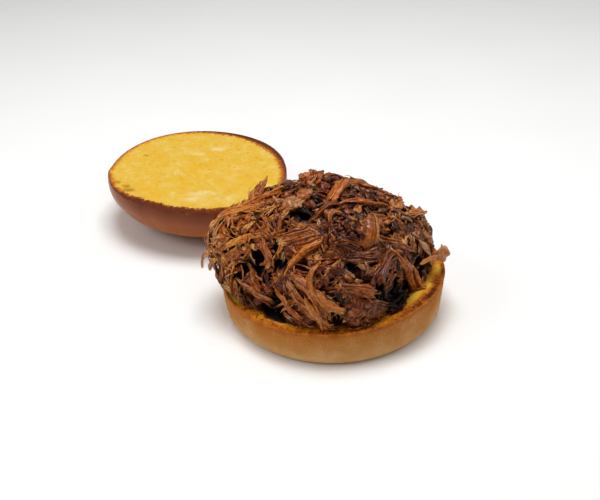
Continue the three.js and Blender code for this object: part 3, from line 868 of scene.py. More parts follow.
def walk(rows, steps, luck, bend, waver):
    """Directions along shreds given by (azimuth, polar, heading, length): (shreds, steps, 3).

    Each bends by luck, and by what column 14 of its row says."""
    azimuth, polar, heading, length = rows.T[:4]
    centre = heap_direction(azimuth, polar)
    right = heap_direction(azimuth + 90, azimuth * 0 + 90)
    up = np.cross(centre, right)
    share = np.linspace(-0.5, 0.5, steps)
    reach = (length / HEAP_REACH)[:, None]
    count = len(rows)
    own_bend = rows[:, 14:15] if rows.shape[1] > 14 else 0
    bow = (luck.uniform(-bend, bend, (count, 1)) + own_bend) * (4 * share ** 2 - 0.33)
    cycles = luck.uniform(0.8, 2.0, (count, 1))
    phase = luck.uniform(0, 6.28, (count, 1))
    snake = waver * luck.random((count, 1)) * np.sin(2 * np.pi * cycles * share + phase)
    forward = share * reach
    sideways = (bow + snake) * reach
    cos, sin = np.cos(np.radians(heading))[:, None], np.sin(np.radians(heading))[:, None]
    rightward = forward * cos - sideways * sin
    upward = forward * sin + sideways * cos
    away = np.maximum(np.hypot(rightward, upward), 1e-9)
    level = np.sin(away) / away
    return (centre[:, None] * np.cos(away)[..., None] + right[:, None] * (rightward * level)[..., None]
            + up[:, None] * (upward * level)[..., None])


def slide(values, reach, pick):
    """Largest or smallest value within reach steps of each place."""
    padded = np.pad(values, reach, mode="edge")
    return pick([padded[i:i + len(values)] for i in range(2 * reach + 1)], axis=0)


def lay(directions, width, thickness, lift, press, headroom, held):
    """Drops shreds one after the other; returns their distances from the heap's middle.

    Press says how far they sink in the meat below, and headroom how far they may stand out of the form.
    A held shred keeps its own height over the heap's form, and rises only over what would bury it."""
    side = unit(np.cross(directions, np.gradient(directions, axis=1)))
    distances = np.empty(directions.shape[:2])
    bridge = max(directions.shape[1] // 3, 1)
    for i, path in enumerate(directions):
        feet = path[:, None] + side[i][:, None] * (FEET_ACROSS * width[i] / HEAP_REACH)[:, None]
        rows, columns = map_cells(feet)
        ground = laid[rows, columns]
        under = 0.6 * ground.max(1) + 0.4 * ground.mean(1)
        taut = slide(slide(under, bridge, np.max), bridge, np.min)
        rest = soften(taut, bridge, 0) + thickness[i] * (0.5 - press) + lift[i] * (not held)
        aim = form[rows, columns].mean(1) + (lift[i] if held else clumps[rows, columns].mean(1))
        highest = aim + headroom - 0.5 * thickness[i] * (not held)
        rest = np.maximum(rest, aim) if held else rest
        distances[i] = soften(np.minimum(rest, highest), 2, 0)
        top = (distances[i] + 0.4 * thickness[i])[:, None] + ground * 0
        for down, across in product((-1, 0, 1), repeat=2):
            beside = rows + down, columns + across
            laid[beside] = np.maximum(laid[beside], top)
    return distances


# %% [markdown]
# ## The body of a shred
# A shred is a bundle of fibres, so it is a flattened tube with ridges that run its whole length. It
# twists a little, cups across, thins toward its ends, and was torn rather than cut: each fibre of
# the last ring stops at its own place. Ends are blunt, pointed or frayed. All shreds of one kind are
# worked out together, as arrays of (shreds, steps, points round, 3).

# %% Skin the shreds
BLUNT, POINTED, FRAYED = 0, 1, 2
RIBS = 0.28  # how much the fibres of a shred stand out, as a share of its half-width
piles = {}


def add_to_pile(pile, points, quads, triangles, **looks):
    """Adds closed shapes to a pile, to be joined in one mesh later."""
    held = piles.setdefault(pile, {"points": [], "quads": [], "triangles": [], "looks": [], "count": 0})
    held["points"].append(points)
    held["quads"].append(quads + held["count"])
    held["triangles"].append(triangles + held["count"])
    held["looks"].append(looks)
    held["count"] += len(points)


def end_shape(style, closeness):
    """Share of the full width and thickness near an end of a style; closeness is 1 at the tip."""
    pointed = 1 - 0.88 * closeness ** 2.2
    blunt = 1 - 0.25 * closeness ** 6
    frayed_width = 1 + 0.12 * closeness ** 3 - 0.35 * closeness ** 9
    frayed_thickness = 1 - 0.62 * closeness ** 2.5
    width = np.select([style == BLUNT, style == POINTED], [blunt, pointed], frayed_width)
    thickness = np.select([style == BLUNT, style == POINTED], [blunt, pointed], frayed_thickness)
    return width, thickness


def carried_frames(paths, outward):
    """Direction ahead and to the side at each step, carried from the middle so that they never flip."""
    ahead = unit(np.gradient(paths, axis=1))
    side = np.cross(outward, ahead)
    steps = paths.shape[1]
    middle = steps // 2
    for i in [*range(middle + 1, steps), *range(middle - 1, -1, -1)]:
        held = side[:, i - 1] if i > middle else side[:, i + 1]
        side[:, i] = held - ahead[:, i] * np.sum(held * ahead[:, i], -1, keepdims=True)
        side[:, i] = unit(side[:, i])
    return ahead, unit(side)


def skin(pile, paths, outward, width, thickness, ends, around, looks, luck, tear=0.35):
    """Skins shreds along their paths and adds them to a pile. Returns the frame of each path."""
    count, steps = paths.shape[:2]
    tone, warm, sauce = looks
    share = np.linspace(0, 1, steps)
    ahead, side = carried_frames(paths, outward)
    up = np.cross(ahead, side)
    roll = luck.normal(0, 0.35, (count, 1)) + luck.normal(0, 0.7, (count, 1)) * (share - 0.5)
    cos, sin = np.cos(roll)[..., None], np.sin(roll)[..., None]
    side, up = side * cos + up * sin, up * cos - side * sin

    closeness = np.abs(2 * share - 1)
    style = np.where(share < 0.5, ends[:, :1], ends[:, 1:])
    wide, thick = end_shape(style, closeness)
    cycles = share * luck.uniform(0.6, 2.2, (count, 1)) + luck.random((count, 1))
    wobble = 1 + 0.2 * np.sin(2 * np.pi * cycles)
    half_width = 0.5 * width[:, None] * wide * wobble
    half_thickness = 0.5 * thickness[:, None] * thick * (2 - wobble)

    turn = np.arange(around) / around * 2 * np.pi
    ridge = luck.uniform(1 - RIBS, 1 + 0.6 * RIBS, (count, 1, around))
    ridge = ridge + 0.6 * RIBS * soften(luck.normal(0, 1, (count, steps, around)), 1, 1)
    across = half_width[..., None] * np.cos(turn) * ridge
    deep = half_thickness[..., None] * np.sin(turn) * ridge
    cup = luck.normal(0, 0.35, (count, 1, 1)) / np.maximum(width[:, None, None], 0.1)
    deep = deep + cup * across ** 2
    rings = paths[:, :, None] + across[..., None] * side[:, :, None] + deep[..., None] * up[:, :, None]

    pull = luck.uniform(-0.3, 1.0, (count, 2, around)) * tear * np.minimum(width, 5)[:, None, None]
    rings[:, 0] -= pull[:, 0, :, None] * ahead[:, :1]
    rings[:, -1] += pull[:, 1, :, None] * ahead[:, -1:]
    middles = rings.mean(2)
    # Each end closes with a smaller ring, sunk into the shred like the hollow of a torn end.
    sunk = 0.25 * tear * width[:, None, None]
    first_cap = middles[:, :1] + 0.45 * (rings[:, 0] - middles[:, :1]) + sunk * ahead[:, :1]
    last_cap = middles[:, -1:] + 0.45 * (rings[:, -1] - middles[:, -1:]) - sunk * ahead[:, -1:]
    rings = np.concatenate([first_cap[:, None], rings, last_cap[:, None]], 1)
    ends_in = np.stack([rings[:, 0].mean(1), rings[:, -1].mean(1)], 1)
    points = np.concatenate([rings.reshape(count, -1, 3), ends_in], 1)

    length = np.linalg.norm(np.diff(paths, axis=1), axis=-1).sum(1)
    grid_share = np.concatenate([[0], share, [1]])
    along = np.broadcast_to((grid_share * length[:, None])[..., None] / 6, (count, steps + 2, around))
    flat_across = np.concatenate([across[:, :1], across, across[:, -1:]], 1)
    flat_deep = np.concatenate([deep[:, :1], deep, deep[:, -1:]], 1)
    grain = np.stack([flat_across, flat_deep, along], -1).reshape(count, -1, 3)
    grain = np.concatenate([grain, grain[:, :1], grain[:, -1:]], 1) + luck.uniform(0, 90, (count, 1, 3))
    # The ends are painted a little lighter, as painted light that shines through thin meat.
    tips = np.concatenate([np.repeat(np.concatenate([[1], closeness, [1]]), around), [1, 1]])
    tones = tone[:, None] + 0.08 * tips[None] ** 3
    quads, triangles = tube_faces(steps + 2, around, count)
    add_to_pile(
        pile, points.reshape(-1, 3), quads, triangles, grain=grain.reshape(-1, 3), tone=tones.ravel(),
        warm=np.repeat(warm, points.shape[1]), sauce=np.repeat(sauce, points.shape[1]))
    return side, up


# %% [markdown]
# ## Strands side by side
# A shred comes apart in strands about a millimetre wide, with dark grooves between them. So the body of
# a broad shred stays thin, and strands are laid along it, each with its own length, height and tone.
# At a frayed end they part like a brush, and at a pointed end the outer ones stop early.

# %% Split a shred in strands
STRAND_AROUND = 5  # points round a strand


def follow(paths, side, up, parent, share):
    """Places and frames along the parents' paths, also a little past their ends."""
    steps = paths.shape[1]
    place = share * (steps - 1)
    low = np.clip(np.floor(place).astype(int), 0, steps - 2)
    row = parent[:, None]
    spine = paths[row, low] + (place - low)[..., None] * (paths[row, low + 1] - paths[row, low])
    return spine, side[row, low], up[row, low]


def split(pile, paths, side, up, rows, ends, strand_width, steps, looks, luck, ragged):
    """Lays strands along the bodies of broad shreds. The more ragged, the more of them stop short."""
    width, thickness = rows[:, 4], rows[:, 5]
    number = np.maximum(np.round(width / strand_width), 2).astype(int)
    parent = np.repeat(np.arange(len(paths)), number)
    total = len(parent)
    rank = np.arange(total) - np.repeat(np.cumsum(number) - number, number)
    offset = (rank + 0.5 + luck.uniform(-0.25, 0.25, total)) / number[parent] - 0.5
    outer = np.abs(2 * offset) ** 1.5
    stops = ragged * luck.random((total, 2)) ** 2 - 0.02
    styles = ends[parent]
    uneven = [0.3 * outer[:, None], luck.uniform(-0.14, 0.05, (total, 2))]
    stops += np.select([styles == POINTED, styles == FRAYED], uneven, 0)
    progress = np.linspace(0, 1, steps)
    share = stops[:, :1] + (1 - stops.sum(1, keepdims=True)) * progress
    spine, ledge, rise = follow(paths, side, up, parent, share)
    to_first = np.clip(1 - 2.6 * share, 0, 1) ** 2
    to_last = np.clip(1 - 2.6 * (1 - share), 0, 1) ** 2
    flare = np.select([styles == POINTED, styles == FRAYED], [-0.75, 0.45], 0.0)
    breadth = 1 + flare[:, :1] * to_first + flare[:, 1:] * to_last
    drift = luck.normal(0, 0.35, (total, 1)) * (to_first + to_last) + luck.normal(0, 0.12, (total, 1))
    skew = ragged * luck.normal(0, 1.6, (total, 1)) * (share - 0.5)
    across = (offset[:, None] * breadth + 0.25 * skew) * width[parent][:, None] + drift
    curl = luck.uniform(-0.6, 1.4, (total, 2)) * (styles == FRAYED)
    height = 0.34 * thickness[parent] * (1 - 0.8 * outer) + luck.normal(0.0, 0.2, total)
    height = height[:, None] + curl[:, :1] * to_first + curl[:, 1:] * to_last
    strands = keep_off_bread(spine + across[..., None] * ledge + height[..., None] * rise, 0.4)
    own_width = width[parent] / number[parent] * luck.uniform(0.7, 1.5, total)
    own_thickness = np.minimum(own_width, 0.75 * thickness[parent]) * luck.uniform(0.7, 1.0, total)
    own_ends = np.where(luck.random((total, 2)) < 0.5, POINTED, BLUNT)
    tone, warm, sauce = [values[parent] for values in looks]
    tone = tone + luck.normal(0, 0.09, total)
    warm = np.clip(warm + luck.normal(0, 0.1, total), 0, 1)
    looks = tone, warm, sauce
    skin(pile, strands, rise, own_width, own_thickness, own_ends, STRAND_AROUND, looks, luck, tear=0.6)


# %% [markdown]
# ## Fine fibres
# Torn meat is hairy. Fibres lift off the side of a shred, run on past its end, or fan out where it
# frayed. Each takes its course from its parent shred: it starts some way before one of its ends, and
# drifts away by a little or a lot.

# %% Fibres that leave their shred
FIBRE_STEPS = 5
FIBRE_AROUND = 3


def grow_fibres(paths, side, up, rows, ends, per_shred, thick_range, looks, luck):
    """Adds fibres to each shred, some along it and some fanning out past its ends."""
    width, thickness = rows[:, 4], rows[:, 5]
    parent = np.repeat(np.arange(len(paths)), per_shred)
    number = len(parent)
    flip = luck.random(number) < 0.5
    end = np.where(flip, ends[parent, 0], ends[parent, 1])
    past = np.where(end == FRAYED, luck.uniform(0.05, 0.3, number), luck.uniform(-0.5, 0.1, number))
    past = np.minimum(past, 2.2 / rows[parent, 3])
    start = past + luck.uniform(-0.45, -0.22, number) + 1
    progress = np.linspace(0, 1, FIBRE_STEPS)
    share = start[:, None] + (1 + past - start)[:, None] * progress
    share = np.where(flip[:, None], 1 - share, share)
    spine, ledge, rise = follow(paths, side, up, parent, share)
    offset = luck.uniform(-0.45, 0.45, number)
    flare = (offset * 1.4 + luck.normal(0, 0.25, number)) * np.where(end == FRAYED, 1.0, 0.6)
    parting = flare[:, None] * np.minimum(width[parent], 2.6)[:, None] * progress ** 2
    across = offset[:, None] * width[parent][:, None] + parting
    height = luck.uniform(0.25, 0.5, number)[:, None] * thickness[parent][:, None]
    height = height + luck.uniform(-0.3, 1.2, number)[:, None] * progress ** 2
    fibre = keep_off_bread(spine + across[..., None] * ledge + height[..., None] * rise, 0.3)
    fat = luck.uniform(*thick_range, number)
    tone, warm, sauce = [values[parent] for values in looks]
    # Fibres are painted lighter and more amber, as painted light that shines through thin meat.
    lighter = np.maximum(tone + luck.uniform(-0.05, 0.25, number), 0.15)
    looks = lighter, np.clip(warm + luck.uniform(0, 0.3, number), 0, 1), sauce - 0.15
    own_ends = np.full((number, 2), POINTED)
    skin("pork_fibres", fibre, rise, fat * 1.3, fat, own_ends, FIBRE_AROUND, looks, luck, tear=0.2)


# %% [markdown]
# ## Where the meat is light, amber or wet
# No two handfuls of pulled pork have one colour: meat from the outside of the roast is amber, meat
# from beside the bone grey-brown, and sauce pooled in the middle. A few soft fields over the heap carry
# that, and each shred takes its mean tone from the field at its middle, with a spread of its own. The
# fields on the left are lighter also as painted light, for the bright light that falls on that side.

# %% Colour fields of the heap
MEAN_LOOKS = (0.2, 0.3, 0.28)  # tone, warmth and wetness outside every field
# Each field is (azimuth, polar, half-width in degrees, lighter, more amber, wetter).
FIELDS = [
    (-176, 68, 22, 0.15, 0.15, -0.15), (175, 50, 40, 0.08, 0.32, -0.08), (-150, 55, 26, 0.05, 0.30, 0.0),
    (-100, 80, 20, 0.12, 0.15, -0.18), (-47, 20, 8, -0.2, 0.0, 0.05),
    (-100, 45, 26, 0.0, 0.15, 0.05), (-60, 40, 22, -0.08, -0.05, 0.15), (-70, 82, 14, -0.06, 0.0, 0.05),
    (0, 10, 30, 0.0, 0.05, 0.0), (0, 60, 30, 0.15, -0.15, 0.0), (-35, 62, 14, 0.0, 0.25, 0.12),
    (-130, 75, 18, -0.06, 0.1, 0.08), (-8, 38, 26, 0.08, 0.06, -0.06)]


def looks_at(rows, luck, spread=0.1):
    """Tone, warmth and wetness of shreds: the fields over the heap, and what each row adds."""
    middles = heap_direction(rows[:, 0], rows[:, 1])
    tone, warm, sauce = [np.full(len(rows), start) for start in MEAN_LOOKS]
    for azimuth, polar, reach, lighter, ambered, wetter in FIELDS:
        share = near(middles, azimuth, polar, reach)
        tone += lighter * share
        warm += ambered * share
        sauce += wetter * share
    own = rows[:, 6:9] if rows.shape[1] > 6 else np.zeros((len(rows), 3))
    tone += own[:, 0] + luck.normal(0, spread, len(rows))
    warm += own[:, 1] + luck.normal(0, spread, len(rows))
    sauce += own[:, 2] + luck.normal(0, spread, len(rows))
    return tone, np.clip(warm, 0, 1), sauce


# %% [markdown]
# ## Spreading the shreds
# Every shred gets a place on a golden-angle spiral, which spreads places evenly and never lines them
# up, with a random heading. Big pieces go first and small ones last, because those end up on top when
# meat is shaken off a fork. Few pieces start over a hollow.

# %% Spread one kind of shred
GOLDEN_ANGLE = 137.508
TOP_TO_FOOT = (3.0, 92.0)  # polar angles between which shreds get their places
BARE_BREAD = (-10, 92, 15)  # (azimuth, polar, half-width) where the heap leaves the heel bare


def spread_rows(count, luck, length, width, thickness, keep_out=(0.5, 6.0)):
    """Rows of (azimuth, polar, heading, length, width, thickness) over the whole heap."""
    share = (np.arange(count) + luck.random(count)) / count
    top, bottom = np.cos(np.radians(TOP_TO_FOOT))
    polar = np.degrees(np.arccos(top + (bottom - top) * share))
    azimuth = np.arange(count) * GOLDEN_ANGLE + luck.uniform(-6, 6, count)
    heading = luck.uniform(0, 360, count)
    sizes = [luck.uniform(*limits, count) for limits in (length, width, thickness)]
    rows = np.stack([azimuth, polar, heading, *sizes], -1)
    depth = hollow_depth(heap_direction(azimuth, polar))
    rows = rows[depth < luck.uniform(*keep_out, count)]
    foot = near(heap_direction(rows[:, 0], rows[:, 1]), *BARE_BREAD)
    rows = rows[foot < luck.random(len(rows)) * 0.6 + 0.1]
    luck.shuffle(rows)
    return rows


def nearest(rows, places):
    """1 for rows at one of the places (azimuth, polar, half-width), falling to 0 round them."""
    middles = heap_direction(rows[:, 0], rows[:, 1])
    return np.max([near(middles, *place) for place in places], axis=0)


def bundle_rows(count, luck, members, breadth, fan, length, width, thickness):
    """Rows for bundles: shreds side by side that fan out a little, as they came off one muscle.

    Rows go on with lighter, more amber, wetter, and the lifts of the first end, middle and last end."""
    leaders = spread_rows(count, luck, length, width, thickness)
    group = np.repeat(np.arange(len(leaders)), luck.integers(*members, len(leaders)))
    number = len(group)
    rows = leaders[group]
    across = luck.uniform(-0.5, 0.5, number) * breadth
    along = luck.normal(0, 0.12, number) * rows[:, 3]
    course = np.radians(rows[:, 2])
    rightward = along * np.cos(course) - across * np.sin(course)
    upward = along * np.sin(course) + across * np.cos(course)
    rows[:, 1] -= np.degrees(upward / HEAP_REACH)
    rows[:, 0] += np.degrees(rightward / HEAP_REACH) / np.maximum(np.sin(np.radians(rows[:, 1])), 0.2)
    fanned = across / breadth * 2 * luck.uniform(-fan, fan, len(leaders))[group]
    rows[:, 2] += fanned + luck.normal(0, 7, number)
    rows[:, 3:6] *= luck.uniform(0.75, 1.25, (number, 3))
    looks = np.clip(luck.normal(0, [0.22, 0.32, 0.18], (len(leaders), 3)), -0.38, 0.38)[group]
    lifts = luck.uniform([-1.2, -0.4, -1.2], [2.6, 1.0, 2.6], (len(leaders), 3))[group]
    lifts += luck.uniform(-0.5, 0.5, (number, 3))
    return np.concatenate([rows, looks, lifts], 1)


def place_shreds(pile, rows, luck, steps, around, headroom, bend=0.1, waver=0.03, fibres=0,
                 fibre_range=None, strand_width=0, spread=0.1, tear=0.35, held=False):
    """Lays, skins, splits and frays shreds of one kind. Rows may go on with the two ends' styles."""
    directions = walk(rows, steps, luck, bend, waver)
    width, thickness = rows[:, 4], rows[:, 5]
    share = np.linspace(0, 1, steps)
    first, centre, last = rows[:, 9:12].T
    bow = 4 * share * (1 - share)
    lift = first[:, None] * (1 - share) + last[:, None] * share
    lift = lift + (centre - (first + last) / 2)[:, None] * bow
    distances = lay(directions, width, thickness, lift, press=0.25, headroom=headroom, held=held)
    paths = keep_off_bread(HEAP_MIDDLE + directions * distances[..., None], 0.35 * thickness[:, None] + 0.1)
    paths = soften(paths, 1, 1)
    ends = luck.choice([BLUNT, POINTED, FRAYED], (len(rows), 2), p=[0.3, 0.35, 0.35])
    ends = rows[:, 12:14].astype(int) if rows.shape[1] > 12 else ends
    looks = looks_at(rows, luck, spread)
    body = 1.0 if held or not strand_width else 0.85
    body_width = width * (0.5 + 0.5 * body)
    side, up = skin(
        pile, paths, directions, body_width, thickness * body, ends, around, looks, luck, tear)
    if strand_width:
        ragged = 0.15 if held else 0.5
        split(pile, paths, side, up, rows, ends, strand_width, steps, looks, luck, ragged)
    if fibres:
        grow_fibres(paths, side, up, rows, ends, fibres, fibre_range, looks, luck)
    print(f"{pile}: {len(rows)} shreds laid")


# %% [markdown]
# ## Chunks
# Some meat stays in lumps: ends of muscle with a grainy, crumbly surface. A chunk starts as a sphere of
# triangles, is stretched and turned, and gets noise for its facets, its lumps and two sizes of grain.

# %% Lay the chunks
CHUNK_STEPS = 5  # where the height of the meat under a chunk is read, along its length


def ball(subdivisions):
    """Points and triangles of a round ball of radius 1."""
    shape = bmesh.new()
    bmesh.ops.create_icosphere(shape, subdivisions=subdivisions, radius=1.0)
    points = np.array([v.co for v in shape.verts])
    triangles = np.array([[v.index for v in face.verts] for face in shape.faces])
    shape.free()
    return points, triangles


def place_chunks(pile, rows, luck, subdivisions, headroom, held=False, raised=0.0):
    """Lays chunks given by (azimuth, polar, heading, length, width, thickness)."""
    points, triangles = ball(subdivisions)
    directions = heap_direction(rows[:, 0], rows[:, 1])
    length, width, thickness = rows[:, 3], rows[:, 4], rows[:, 5]
    paths = walk(rows, CHUNK_STEPS, luck, 0.1, 0.0)
    lift = rows[:, 9] if held else np.full(len(rows), raised)
    lift = np.repeat(lift[:, None], CHUNK_STEPS, axis=1)
    distances = lay(paths, width, thickness, lift, press=0.42, headroom=headroom, held=held)
    distances = distances[:, CHUNK_STEPS // 2]
    middles = keep_off_bread(HEAP_MIDDLE + directions * distances[:, None], 0.4 * thickness)
    ahead = unit(paths[:, -1] - paths[:, 0])
    side = unit(np.cross(directions, ahead))
    up = np.cross(ahead, side)
    stretch = np.stack([length, width, thickness], -1)[:, None] / 2
    own = points[None] + luck.uniform(0, 60, (len(rows), 1, 3))
    ragged = np.clip(0.62 - 0.04 * width, 0.42, 0.52)[:, None]
    facets = ragged * blobs(own, 0.9, 41)
    grown = points[None] * (1 + facets)[..., None] * stretch
    spots = grown + luck.uniform(0, 90, (len(rows), 1, 3))
    lumps = 0.14 * np.minimum(width, 6)[:, None] * blobs(spots, 2.1, 42)
    pebbles = 0.36 * blobs(spots, 0.9, 43) + 0.2 * blobs(spots, 0.5, 44)
    grown = grown + unit(grown) * (lumps + pebbles * np.minimum(width / 4, 1)[:, None])[..., None]
    placed = middles[:, None] + grown[..., :1] * ahead[:, None] + grown[..., 1:2] * side[:, None]
    placed = placed + grown[..., 2:] * up[:, None]
    tone, warm, sauce = looks_at(rows, luck)
    number = len(points)
    all_triangles = (triangles[None] + np.arange(len(rows))[:, None, None] * number).reshape(-1, 3)
    add_to_pile(
        pile, placed.reshape(-1, 3), np.empty((0, 4), int), all_triangles,
        grain=(spots * [1 / 6, 1, 1]).reshape(-1, 3)[:, [1, 2, 0]], tone=np.repeat(tone, number),
        warm=np.repeat(warm, number), sauce=np.repeat(sauce, number))
    print(f"{pile}: {len(rows)} chunks laid")


# %% [markdown]
# ## Lay the heap, the big pieces first
# Lumps of soaked meat and a few chunks make the ground. Slabs, strips and flakes go over them in bundles
# and are split in strands. Each pass has its own seed, so that a change in one doesn't shift the others.

# %% Lay the ground, slabs, strips and flakes
luck = np.random.default_rng(101)
rows = spread_rows(190, luck, length=(6, 12), width=(5, 8), thickness=(4, 6), keep_out=(20, 30))
place_chunks("pork_base", rows, luck, subdivisions=2, headroom=-1.5)
rows = spread_rows(44, luck, length=(6, 11), width=(5, 8), thickness=(4, 6))
place_chunks("pork_chunks", rows, luck, subdivisions=4, headroom=0.8)

luck = np.random.default_rng(102)
rows = bundle_rows(
    38, luck, members=(1, 4), breadth=8, fan=34, length=(9, 17), width=(4, 6.5), thickness=(1.8, 2.6))
place_shreds("pork_slabs", rows, luck, steps=12, around=10, headroom=1.6, fibres=4,
             fibre_range=(0.4, 0.9), strand_width=1.25, tear=0.6)

luck = np.random.default_rng(103)
rows = bundle_rows(
    125, luck, members=(1, 4), breadth=9, fan=40, length=(6, 14), width=(2.0, 4.0), thickness=(1.3, 2.2))
place_shreds("pork_strips", rows, luck, steps=10, around=8, headroom=2.0, fibres=2,
             fibre_range=(0.35, 0.7), strand_width=1.4, tear=0.6)

luck = np.random.default_rng(109)
rows = bundle_rows(
    290, luck, members=(1, 2), breadth=4, fan=40, length=(4, 9), width=(2.5, 5.5), thickness=(1.2, 2.2))
place_shreds("pork_flakes", rows, luck, steps=7, around=8, headroom=2.6, bend=0.14, waver=0.04, fibres=1,
             fibre_range=(0.3, 0.6), strand_width=1.6, tear=0.7)

# %% [markdown]
# The long shreds bridge some places that should be full of meat. These get chunks and flakes of their
# own, which are kept low.

# %% Fill some gaps
FULL_PLACES = [  # (azimuth, polar, half-width)
    (-170, 56, 13), (-172, 47, 8), (-85, 28, 8), (5, 64, 8), (-120, 44, 7), (-158, 73, 6)]
luck = np.random.default_rng(111)
rows = spread_rows(420, luck, length=(5, 8), width=(4, 6), thickness=(3.5, 5), keep_out=(3, 9))
rows = rows[luck.random(len(rows)) < nearest(rows, FULL_PLACES)]
place_chunks("pork_chunks", rows, luck, subdivisions=3, headroom=0.0)
rows = bundle_rows(
    420, luck, members=(1, 2), breadth=4, fan=40, length=(4, 8), width=(2, 4), thickness=(1.0, 1.8))
rows = rows[luck.random(len(rows)) < nearest(rows, FULL_PLACES)]
place_shreds("pork_flakes", rows, luck, steps=7, around=8, headroom=1.6, bend=0.2, waver=0.04, fibres=2,
             fibre_range=(0.25, 0.5), strand_width=1.4, tear=0.7)

# %% [markdown]
# Small pieces come last: chunks and crumbs, strands a millimetre or two wide, thin amber strands that
# lie loose on the left and along the foot, and bits where the meat was chopped more than pulled.

# %% Lay the small pieces
luck = np.random.default_rng(107)
rows = spread_rows(36, luck, length=(4, 8), width=(4, 6), thickness=(3, 4.5))
place_chunks("pork_chunks", rows, luck, subdivisions=4, headroom=2.2)

luck = np.random.default_rng(104)
rows = spread_rows(160, luck, length=(2, 4.5), width=(1.5, 3), thickness=(1.4, 2.4))
place_chunks("pork_crumbs", rows, luck, subdivisions=3, headroom=2.2)

luck = np.random.default_rng(105)
rows = bundle_rows(
    180, luck, members=(2, 6), breadth=6, fan=40, length=(3, 8), width=(0.9, 2.0), thickness=(0.5, 0.9))
place_shreds("pork_strands", rows, luck, steps=7, around=6, headroom=2.6, waver=0.04, fibres=1,
             fibre_range=(0.25, 0.5), tear=0.9)

# %% Lay loose strands and fine bits
HAIRY_PLACES = [(-166, 55, 22), (-105, 76, 16), (150, 30, 12)]  # (azimuth, polar, half-width)
GRAINY_PLACES = [
    (-74, 82, 12), (35, 39, 12), (17, 44, 8), (-13, 54, 12), (-82, 39, 14), (-171, 41, 12), (-167, 22, 7),
    (-158, 57, 10), (-76, 70, 8), (124, 21, 8)]
luck = np.random.default_rng(113)
rows = bundle_rows(
    300, luck, members=(2, 5), breadth=4, fan=26, length=(6, 13), width=(0.6, 1.1), thickness=(0.45, 0.7))
rows = rows[luck.random(len(rows)) < 2.2 * nearest(rows, HAIRY_PLACES)]
place_shreds("pork_strands", rows, luck, steps=7, around=5, headroom=3.2, bend=0.16, waver=0.05, tear=0.9)

luck = np.random.default_rng(110)
rows = spread_rows(2000, luck, length=(1.8, 4.5), width=(0.9, 1.8), thickness=(0.5, 0.9))
rows = rows[luck.random(len(rows)) < 0.15 + 0.6 * nearest(rows, GRAINY_PLACES)]
place_chunks("pork_bits", rows, luck, subdivisions=2, headroom=2.6)

# %% [markdown]
# ## Shreds with a place of their own
# The eye finds a few large shreds at once: the fan at the front, the finger above it, the tongue on the
# right and the loose ends on the left. These repeat the shreds of the plain model, so they
# lie where it has them, and each gets its own tone and kind of end.

